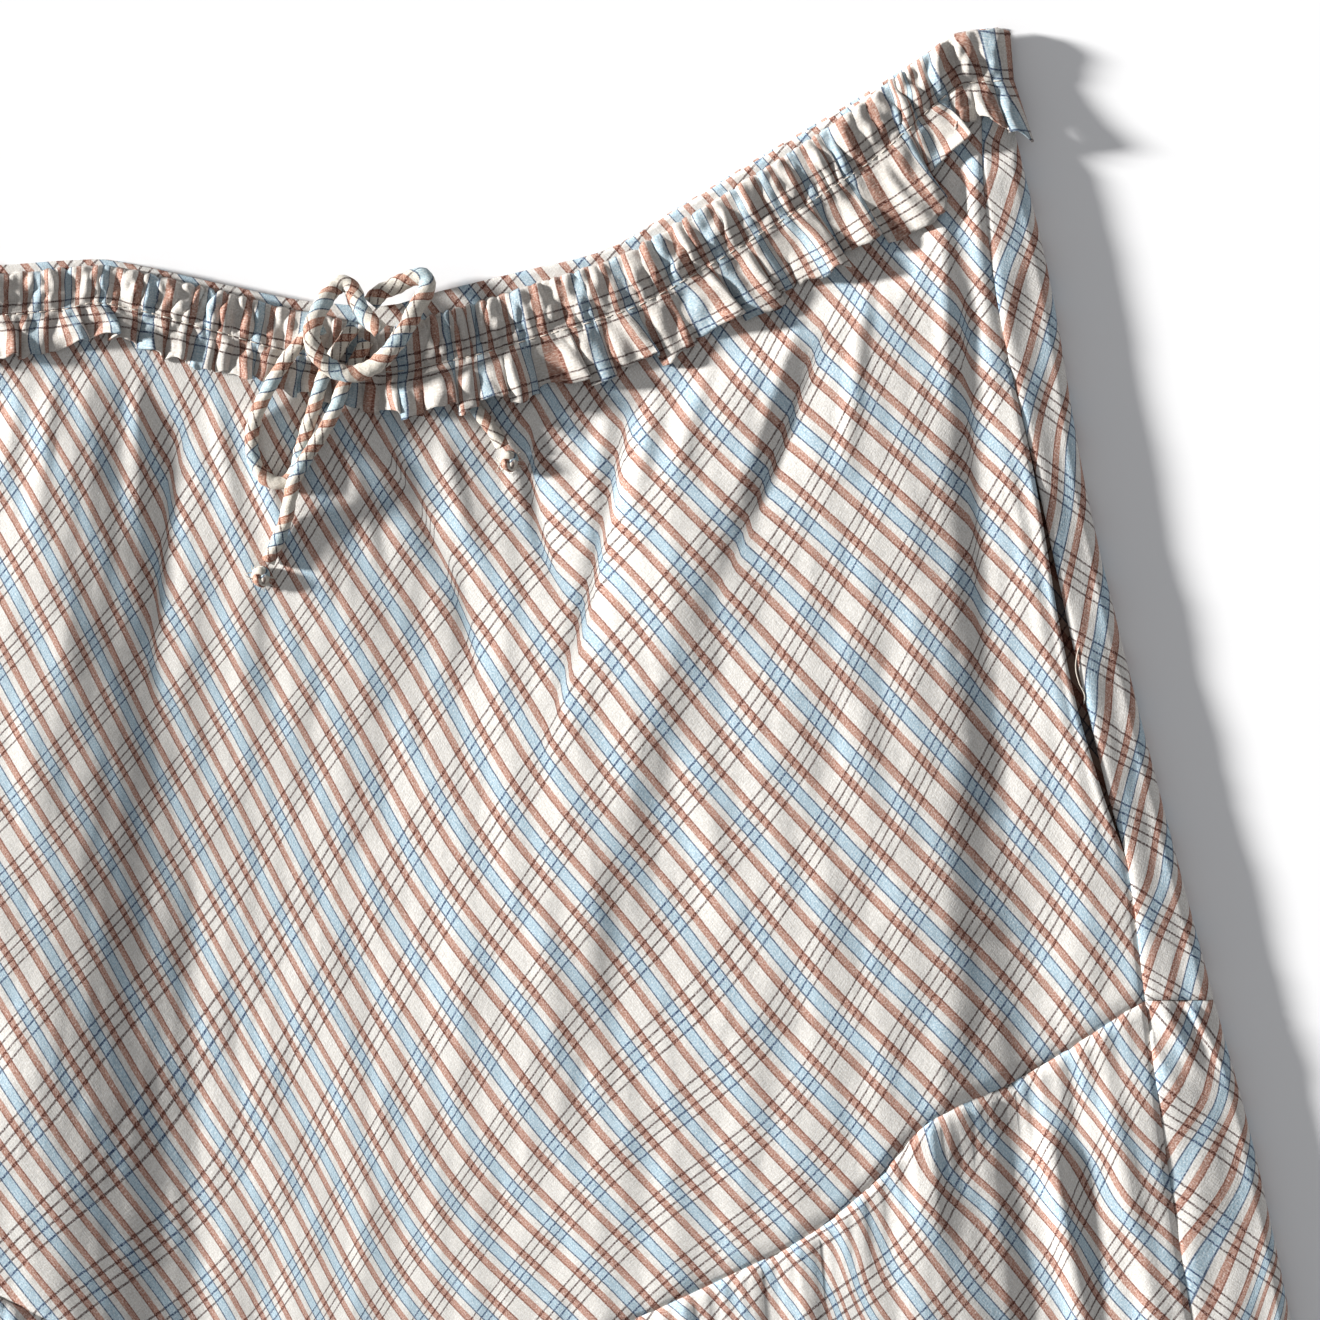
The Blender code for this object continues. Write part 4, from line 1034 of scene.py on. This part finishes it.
def smooth_route(route, spacing):
    """Evenly spaced points on a smooth curve through a route's points."""
    points = [Vector(point) for point in route]
    ends = [2 * points[0] - points[1], *points, 2 * points[-1] - points[-2]]
    fine = []
    for before, start, stop, after in zip(ends, ends[1:], ends[2:], ends[3:]):
        for step in range(12):
            t = step / 12
            linear = (stop - before) * t
            square = (2 * before - 5 * start + 4 * stop - after) * t ** 2
            cube = (3 * start - before - 3 * stop + after) * t ** 3
            fine.append(0.5 * (2 * start + linear + square + cube))
    fine.append(points[-1])
    table = np.array(fine)
    length = run_along(table)[-1]
    return points_at(np.linspace(0, length, max(round(length / spacing), 2) + 1), table)


def evened(heights):
    """Each height, softly averaged with its neighbours."""
    padded = np.concatenate((heights[:1], heights, heights[-1:]))
    return 0.25 * (padded[:-2] + 2 * heights + padded[2:])


def laid_route(route, trees):
    """Close points along a route, laid on the cloth and carried over what the cord crosses."""
    radius = 0.5 * TIE_DIAMETER
    places = smooth_route([(*row, 0.0)[:3] for row in route], 0.8)
    struck = np.array([resting_height(x, y, radius, trees) + lift for x, y, lift in places])
    needed = np.array([struck[max(at - 2, 0):at + 3].max() for at in range(len(struck))])
    heights = needed
    for _ in range(60):
        heights = np.maximum(needed, evened(heights))
    for _ in range(24):
        heights = evened(heights)
    return np.column_stack((places[:, :2], heights))


def tube(name, points, radius, sides, surface, lean=0.6, flatten=0.0, taper=0):
    """A round cord along points, with the plaid wound slantwise round it, closed at both ends."""
    points = np.array(points, float)
    ahead = np.gradient(points, axis=0)
    ahead /= np.linalg.norm(ahead, axis=1)[:, None]
    across = np.cross(ahead, (0.0, 0.0, 1.0))
    across /= np.maximum(np.linalg.norm(across, axis=1), 1e-9)[:, None]
    above = np.cross(across, ahead)
    length = run_along(points)
    last = len(points) - 1
    verts = []
    for at, (point, side, up) in enumerate(zip(points, across, above)):
        for turn in np.linspace(0, 2 * np.pi, sides, endpoint=False):
            lump = 0.05 * math.sin(0.9 * length[at] + 2 * turn) + 0.04 * math.sin(2.3 * length[at] - turn)
            size = radius * (1 + lump)
            if taper:
                size *= min(1.0, 0.35 + min(at, last - at) / taper)
            verts.append(point + size * (math.cos(turn) * side + (1 - flatten) * math.sin(turn) * up))
    faces = []
    counts = []
    for at in range(last):
        for step in range(sides):
            near, far = (ring * sides + step for ring in (at, at + 1))
            following = (step + 1) % sides - step
            faces.append((near, near + following, far + following, far))
            for row, column in ((at, step), (at, step + 1), (at + 1, step + 1), (at + 1, step)):
                around_it = 2 * math.pi * radius * column / sides
                counts.append((
                    (length[row] * math.cos(lean) + around_it * math.sin(lean)) / WIDE_REPEAT,
                    (around_it * math.cos(lean) - length[row] * math.sin(lean)) / THIN_REPEAT,
                ))
    for ring in (0, last):
        verts.append(points[ring])
        for step in range(sides):
            pair = (ring * sides + step, ring * sides + (step + 1) % sides)
            faces.append((len(verts) - 1, *(pair if ring else reversed(pair))))
            counts.extend([(0.0, 0.0)] * 3)
    piece = finished(name, verts, faces, counts, surface)
    bpy.ops.object.mode_set(mode="EDIT")
    bpy.ops.mesh.select_all(action="SELECT")
    bpy.ops.mesh.normals_make_consistent(inside=False)
    bpy.ops.object.mode_set(mode="OBJECT")
    return piece


def knot(name, place, trees, surface):
    """A small tight knot: a lumpy ball wound with turns of the cord."""
    middle = np.array((*place, resting_height(*place, KNOT_SIZE[2], trees)))
    path = []
    for step in range(91):
        turn = 2 * math.pi * step / 45
        wrap = 0.7 + 0.3 * (0.5 + 0.5 * math.sin(1.5 * turn))
        path.append(middle + (
            0.55 * KNOT_SIZE[0] * math.cos(turn) * wrap,
            0.55 * KNOT_SIZE[1] * math.sin(turn) * wrap,
            0.45 * KNOT_SIZE[2] * math.cos(1.5 * turn + 0.5),
        ))
    return tube(name, path, 1.15, 12, surface, lean=0.9)


def frayed_threads(name, place, away, trees, surface):
    """Fine cut threads that stick out of a knot."""
    x, y = place
    level = resting_height(x, y, KNOT_SIZE[2], trees)
    parts = []
    for step in range(KNOT_THREADS):
        turn = away + 1.9 * math.sin(2.4 * step + 0.3)
        lift = 0.35 * math.sin(5.1 * step) - 0.1
        start = 1.3 + 0.3 * math.sin(3.7 * step)
        reach = 3.0 + 1.3 * math.sin(1.7 * step + 1.0)
        points = []
        for share in np.linspace(0, 1, 6):
            bend = turn + 0.5 * share * math.sin(4.3 * step)
            out = mix(start, reach, share)
            points.append((x + out * math.cos(bend), y + out * math.sin(bend), level + out * lift))
        parts.append(tube(f"{name}_{step}", points, 0.16, 5, surface, taper=3))
    return joined(name, parts)


def joined(name, parts):
    """Joins finished meshes into one piece."""
    choose(parts)
    bpy.ops.object.join()
    parts[0].name = name
    parts[0].data.name = name
    return parts[0]


def loose_thread(surface):
    """A cut thread that lies over the pocket's mouth."""
    route = ((182.5, -86, 7.6), (181.4, -89, 8.2), (180.9, -93, 8.4), (181.8, -97, 8.2),
             (183.2, -100, 8.0), (183.0, -102.5, 7.9))
    return tube("loose_thread", smooth_route(route, 0.5), 0.17, 6, surface, taper=3)


def linear(red, green, blue):
    """A colour as it shows, turned into the light that the shader takes."""
    parts = []
    for part in (red, green, blue):
        parts.append(part / 12.92 if part <= 0.04045 else ((part + 0.055) / 1.055) ** 2.4)
    return (*parts, 1.0)


CREAM = (0.840, 0.826, 0.806)
BLUE = (0.690, 0.768, 0.812)
BROWN = (0.706, 0.563, 0.507)
BROWN_EDGE = (0.570, 0.410, 0.358)
NAVY = (0.36, 0.41, 0.49)
OVER_CREAM = (0.43, 0.38, 0.37)
OVER_BLUE = (0.29, 0.36, 0.47)
OVER_BROWN = (0.42, 0.26, 0.22)

# The wide stripes from the middle of a blue one outwards, in millimetres of cloth
BLUE_HALF = 1.35
HAIRLINE = 0.40
SIDE_CREAM = 1.90
BROWN_WIDTH = 2.13
BROWN_EDGE_WIDTH = 0.45
THIN_STEP = 2.29
THIN_HALF = 0.235
THIN_HALF_ON_BROWN = 0.36
YARN_CONTRAST = 2.4


class Shop:
    """Adds nodes to a tree and joins their sockets."""

    def __init__(self, tree):
        self.tree = tree

    def node(self, kind, inputs=(), **settings):
        made = self.tree.nodes.new(kind)
        for name, value in settings.items():
            setattr(made, name, value)
        for socket, value in dict(inputs).items():
            if hasattr(value, "is_output"):
                self.tree.links.new(value, made.inputs[socket])
            else:
                made.inputs[socket].default_value = value
        return made

    def math(self, operation, first, second=0.0, third=0.0):
        return self.node("ShaderNodeMath", {0: first, 1: second, 2: third}, operation=operation).outputs[0]

    def centred(self, value):
        return self.math("SUBTRACT", value, 0.5)

    def scaled(self, vector, across, along):
        inputs = {0: vector, 1: (across, along, 1.0)}
        return self.node("ShaderNodeVectorMath", inputs, operation="MULTIPLY").outputs[0]

    def eased(self, value, low, high):
        """0 below low and 1 above high, eased between them. low may be over high."""
        inputs = {"Value": value, "From Min": low, "From Max": high, "To Min": 0.0, "To Max": 1.0}
        return self.node("ShaderNodeMapRange", inputs, interpolation_type="SMOOTHSTEP").outputs[0]

    def ramp(self, value, stops):
        made = self.node("ShaderNodeValToRGB", {0: value})
        elements = made.color_ramp.elements
        while len(elements) > 1:
            elements.remove(elements[-1])
        elements[0].position = stops[0][0]
        elements[0].color = linear(*stops[0][1])
        for position, colour in stops[1:]:
            elements.new(position).color = linear(*colour)
        return made.outputs[0]

    def blend(self, share, low, high, kind="MIX"):
        made = self.node("ShaderNodeMix", {0: share, 6: low, 7: high}, data_type="RGBA", blend_type=kind)
        return made.outputs[2]

    def from_middle(self, count):
        """How far a count of repeats lies from the nearest whole one, from 0 to 0.5."""
        return self.math("ABSOLUTE", self.centred(self.math("FRACT", self.math("ADD", count, 0.5))))

    def grain(self, vector, scale, detail=2.0):
        inputs = {"Vector": vector, "Scale": scale, "Detail": detail, "Roughness": 0.6}
        return self.node("ShaderNodeTexNoise", inputs, noise_dimensions="3D").outputs[0]


def banded(widths, colours, blur=0.12):
    """Ramp stops for bands of given widths out from the middle of a repeat, with slightly soft edges."""
    half = 0.5 * WIDE_REPEAT
    stops = [(0.0, colours[0])]
    at = 0.0
    for width, colour, following in zip(widths, colours, colours[1:]):
        at += width
        stops.append(((at - 0.5 * blur) / half, colour))
        stops.append(((at + 0.5 * blur) / half, following))
    return stops


def plaid_group():
    """The woven plaid: its colour and the height of its yarns from the counts of repeats."""
    group = bpy.data.node_groups.new("woven_plaid", "ShaderNodeTree")
    for name, way, kind in (
        ("Courses", "INPUT", "Vector"), ("Slubs", "INPUT", "Float"),
        ("Color", "OUTPUT", "Color"), ("Height", "OUTPUT", "Float"),
    ):
        group.interface.new_socket(name, in_out=way, socket_type="NodeSocket" + kind)
    shop = Shop(group)
    entry = shop.node("NodeGroupInput")
    courses = entry.outputs["Courses"]
    cloth = shop.scaled(courses, WIDE_REPEAT, THIN_REPEAT)
    parts = shop.node("ShaderNodeSeparateXYZ", {0: courses}).outputs
    wander = shop.math("MULTIPLY", shop.centred(shop.grain(cloth, 0.35)), 0.012)
    wide = shop.math("MULTIPLY", shop.from_middle(shop.math("ADD", parts[0], wander)), 2.0)
    thin = shop.from_middle(shop.math("ADD", parts[1], wander))

    widths = (BLUE_HALF, HAIRLINE, SIDE_CREAM, BROWN_WIDTH - BROWN_EDGE_WIDTH, BROWN_EDGE_WIDTH)
    black, white = (0, 0, 0), (1, 1, 1)
    warp, crossing, on_brown = (shop.ramp(wide, banded(widths, colours)) for colours in (
        (BLUE, NAVY, CREAM, BROWN, BROWN_EDGE, CREAM),
        (OVER_BLUE, NAVY, OVER_CREAM, OVER_BROWN, OVER_BROWN, OVER_CREAM),
        (black, black, black, white, white, black),
    ))
    half = shop.math("MULTIPLY_ADD", on_brown, THIN_HALF_ON_BROWN - THIN_HALF, THIN_HALF)
    away = shop.math("MULTIPLY", thin, THIN_REPEAT)
    away = shop.math("ABSOLUTE", shop.math("SUBTRACT", away, THIN_STEP))
    away = shop.math("ABSOLUTE", shop.math("SUBTRACT", away, 0.5 * THIN_STEP))
    line = shop.eased(shop.math("SUBTRACT", away, half), 0.09, -0.07)

    warp_slub = shop.grain(shop.scaled(cloth, 1.0, 0.10), 2.6)
    weft_slub = shop.grain(shop.scaled(cloth, 0.10, 1.0), 2.6)
    fleck = shop.centred(shop.grain(cloth, 2.2, 1.0))
    slubs = shop.math("ADD", shop.centred(warp_slub), shop.centred(weft_slub))
    slubs = shop.math("MULTIPLY_ADD", fleck, 0.9, slubs)
    worn = shop.math("MULTIPLY", line, shop.math("MULTIPLY_ADD", fleck, 0.8, 0.9))
    colour = shop.blend(worn, warp, crossing)
    shade = shop.math("MULTIPLY_ADD", shop.math("MULTIPLY", slubs, entry.outputs["Slubs"]), 0.62, 1.0)
    grey = shop.node("ShaderNodeCombineColor", {0: shade, 1: shade, 2: shade}).outputs[0]
    colour = shop.blend(1.0, colour, grey, "MULTIPLY")
    depth = shop.math("MULTIPLY_ADD", fleck, YARN_CONTRAST, 1.0)
    colour = shop.node("ShaderNodeGamma", {0: colour, 1: depth}).outputs[0]
    shop.node("NodeGroupOutput", {"Color": colour, "Height": slubs})
    return group


def new_finish(name, roughness):
    """A new material, with the shop for its nodes and its shader's inputs."""
    made = bpy.data.materials.new(name)
    made.use_nodes = True
    inputs = made.node_tree.nodes["Principled BSDF"].inputs
    inputs["Roughness"].default_value = roughness
    return made, Shop(made.node_tree), inputs


def cotton(name, group, painted_shade_tint, slubs, crinkle):
    """A cotton surface in the plaid, multiplied by a tint of painted shade, with yarns and fine crinkles.
    """
    made, shop, inputs = new_finish(name, 0.92)
    counts = shop.node("ShaderNodeUVMap", uv_map="plaid").outputs[0]
    plaid = shop.node("ShaderNodeGroup", node_tree=group)
    shop.tree.links.new(counts, plaid.inputs["Courses"])
    plaid.inputs["Slubs"].default_value = slubs
    # The tint darkens the plaid as painted shade; where it is white it leaves the plaid as it is.
    colour = shop.blend(1.0, plaid.outputs["Color"], linear(*painted_shade_tint), "MULTIPLY")
    crinkles = shop.grain(shop.node("ShaderNodeTexCoord").outputs["Object"], 420.0, 3.0)
    yarns = shop.math("MULTIPLY", plaid.outputs["Height"], 0.35)
    height = shop.math("MULTIPLY_ADD", crinkles, crinkle, yarns)
    bumps = shop.node("ShaderNodeBump", {"Height": height, "Strength": 0.55, "Distance": 0.0003})
    shop.tree.links.new(colour, inputs["Base Color"])
    shop.tree.links.new(bumps.outputs[0], inputs["Normal"])
    inputs["Specular IOR Level"].default_value = 0.2
    inputs["Sheen Weight"].default_value = 0.08
    return made


def plain_thread(name, colour):
    """Thread of one colour, with fine darker flecks."""
    made, shop, inputs = new_finish(name, 0.9)
    fleck = shop.grain(shop.node("ShaderNodeTexCoord").outputs["Object"], 1500.0, 2.0)
    dark = linear(*(0.72 * part for part in colour))
    shop.tree.links.new(shop.blend(fleck, dark, linear(*colour)), inputs["Base Color"])
    return made


def floor_and_light():
    """A plain white floor, a broad low light from the left and an even pale surround."""
    scene = bpy.context.scene
    bpy.ops.mesh.primitive_plane_add(size=9.0, location=(0.0, 0.0, -0.0002))
    floor = bpy.context.active_object
    floor.name = "floor"
    paper, _, inputs = new_finish("pale_floor", 1.0)
    inputs["Base Color"].default_value = linear(0.97, 0.97, 0.975)
    inputs["Specular IOR Level"].default_value = 0.0
    floor.data.materials.append(paper)
    lamp = bpy.data.lights.new("window", "SUN")
    lamp.energy = LIGHT_STRENGTH
    lamp.angle = math.radians(LIGHT_SOFTNESS)
    lamp.color = (1.0, 0.99, 0.97)
    window = bpy.data.objects.new("window", lamp)
    window.rotation_euler = (0.0, -math.radians(90 - LIGHT_HEIGHT), math.radians(-LIGHT_TURN))
    scene.collection.objects.link(window)
    world = bpy.data.worlds.new("surround")
    world.use_nodes = True
    inputs = world.node_tree.nodes["Background"].inputs
    inputs[0].default_value = (0.97, 0.98, 1.0, 1.0)
    inputs[1].default_value = SURROUND
    scene.world = world
    scene.view_settings.view_transform = "Standard"


def camera_over_photo():
    """Looks straight down on the photograph's part of the skirt."""
    view = bpy.data.cameras.new("camera")
    view.type = "ORTHO"
    view.ortho_scale = PHOTO_WIDTH * MM
    view.clip_end = 20.0
    camera = bpy.data.objects.new("camera", view)
    camera.location = in_metres((*PHOTO_MIDDLE, CAMERA_HEIGHT))
    bpy.context.scene.collection.objects.link(camera)
    bpy.context.scene.camera = camera


def main():
    camera_over_photo()
    group = plaid_group()
    plaid = cotton("plaid_cotton_finish", group, (1.0, 1.0, 1.0), 0.7, 0.5)
    # The pocket bag's plaid, darkened by a tint: painted shade for the dark inside of the pocket's mouth.
    pocket_painted_shade = cotton("pocket_cotton_painted_shade", group, (0.66, 0.55, 0.50), 0.5, 0.5)
    # The waist strip's plaid, a little darkened by a tint: painted shade for the shadows in its casing and
    # frill.
    frill_painted_shade = cotton("frill_cotton_painted_shade", group, (0.885, 0.875, 0.865), 0.7, 0.9)
    # The drawstring's plaid, a little darkened by a tint: painted shade.
    drawstring = cotton("drawstring_cotton_painted_shade", group, (0.93, 0.915, 0.885), 0.7, 0.9)
    thread = plain_thread("cut_thread", (0.86, 0.82, 0.77))

    back = back_upper_panel(plaid)
    back_tier = back_lower_tier(plaid)
    back_strip = back_waist_strip(plaid)
    lining = pocket_lining(pocket_painted_shade)
    front = front_upper_panel(plaid)
    tier = front_lower_tier(plaid)
    strip, stitch_line = front_waist_strip(frill_painted_shade)

    under_frill = trees_of([front])
    over_all = trees_of([back, front, strip])
    cords = []
    for name, route, trees, (share, flatten) in (
        ("drawstring_bow", BOW_ROUTE, over_all, BOW_PRESS),
        ("drawstring_loop", HANGING_ROUTE, over_all, HANGING_PRESS),
        ("drawstring_long_end", LONG_END_ROUTE, over_all, HANGING_PRESS),
        ("drawstring_short_end", SHORT_END_ROUTE, under_frill, HANGING_PRESS),
    ):
        points = laid_route(route, trees)
        radius = share * 0.5 * TIE_DIAMETER
        cords.append(tube(name, points, radius, CORD_SIDES, drawstring, flatten=flatten))
    bow, hanging, long_end, short_end = cords
    long_knot = knot("long_end_knot", LONG_END_KNOT, under_frill, drawstring)
    short_knot = knot("short_end_knot", SHORT_END_KNOT, under_frill, drawstring)
    long_fray = frayed_threads("long_end_threads", LONG_END_KNOT, -1.9, under_frill, thread)
    short_fray = frayed_threads("short_end_threads", SHORT_END_KNOT, -1.1, under_frill, thread)
    stray = loose_thread(thread)
    stitches = shirring(stitch_line, thread)

    stands_for = (
        (back, "back_upper_panel", "plaid_cotton"),
        (back_tier, "back_lower_tier", "plaid_cotton"),
        (back_strip, "back_waist_frill", "plaid_cotton"),
        (lining, "pocket_bag", "pocket_cotton"),
        (front, "front_upper_panel", "plaid_cotton"),
        (tier, "front_lower_tier", "plaid_cotton"),
        (strip, "front_waist_frill", "plaid_cotton"),
        (bow, "tie_bow", "drawstring_cotton"),
        (hanging, "tie_hanging_loop", "drawstring_cotton"),
        (long_end, "tie_long_end", "drawstring_cotton"),
        (short_end, "tie_short_end", "drawstring_cotton"),
        (long_knot, "tie_long_end_knot", "drawstring_cotton"),
        (short_knot, "tie_short_end_knot", "drawstring_cotton"),
    )
    for piece, node, slot in stands_for:
        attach(piece, "root")
        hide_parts(node)
    for piece in (long_fray, short_fray, stray, stitches):
        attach(piece, "root")

    floor_and_light()


main()
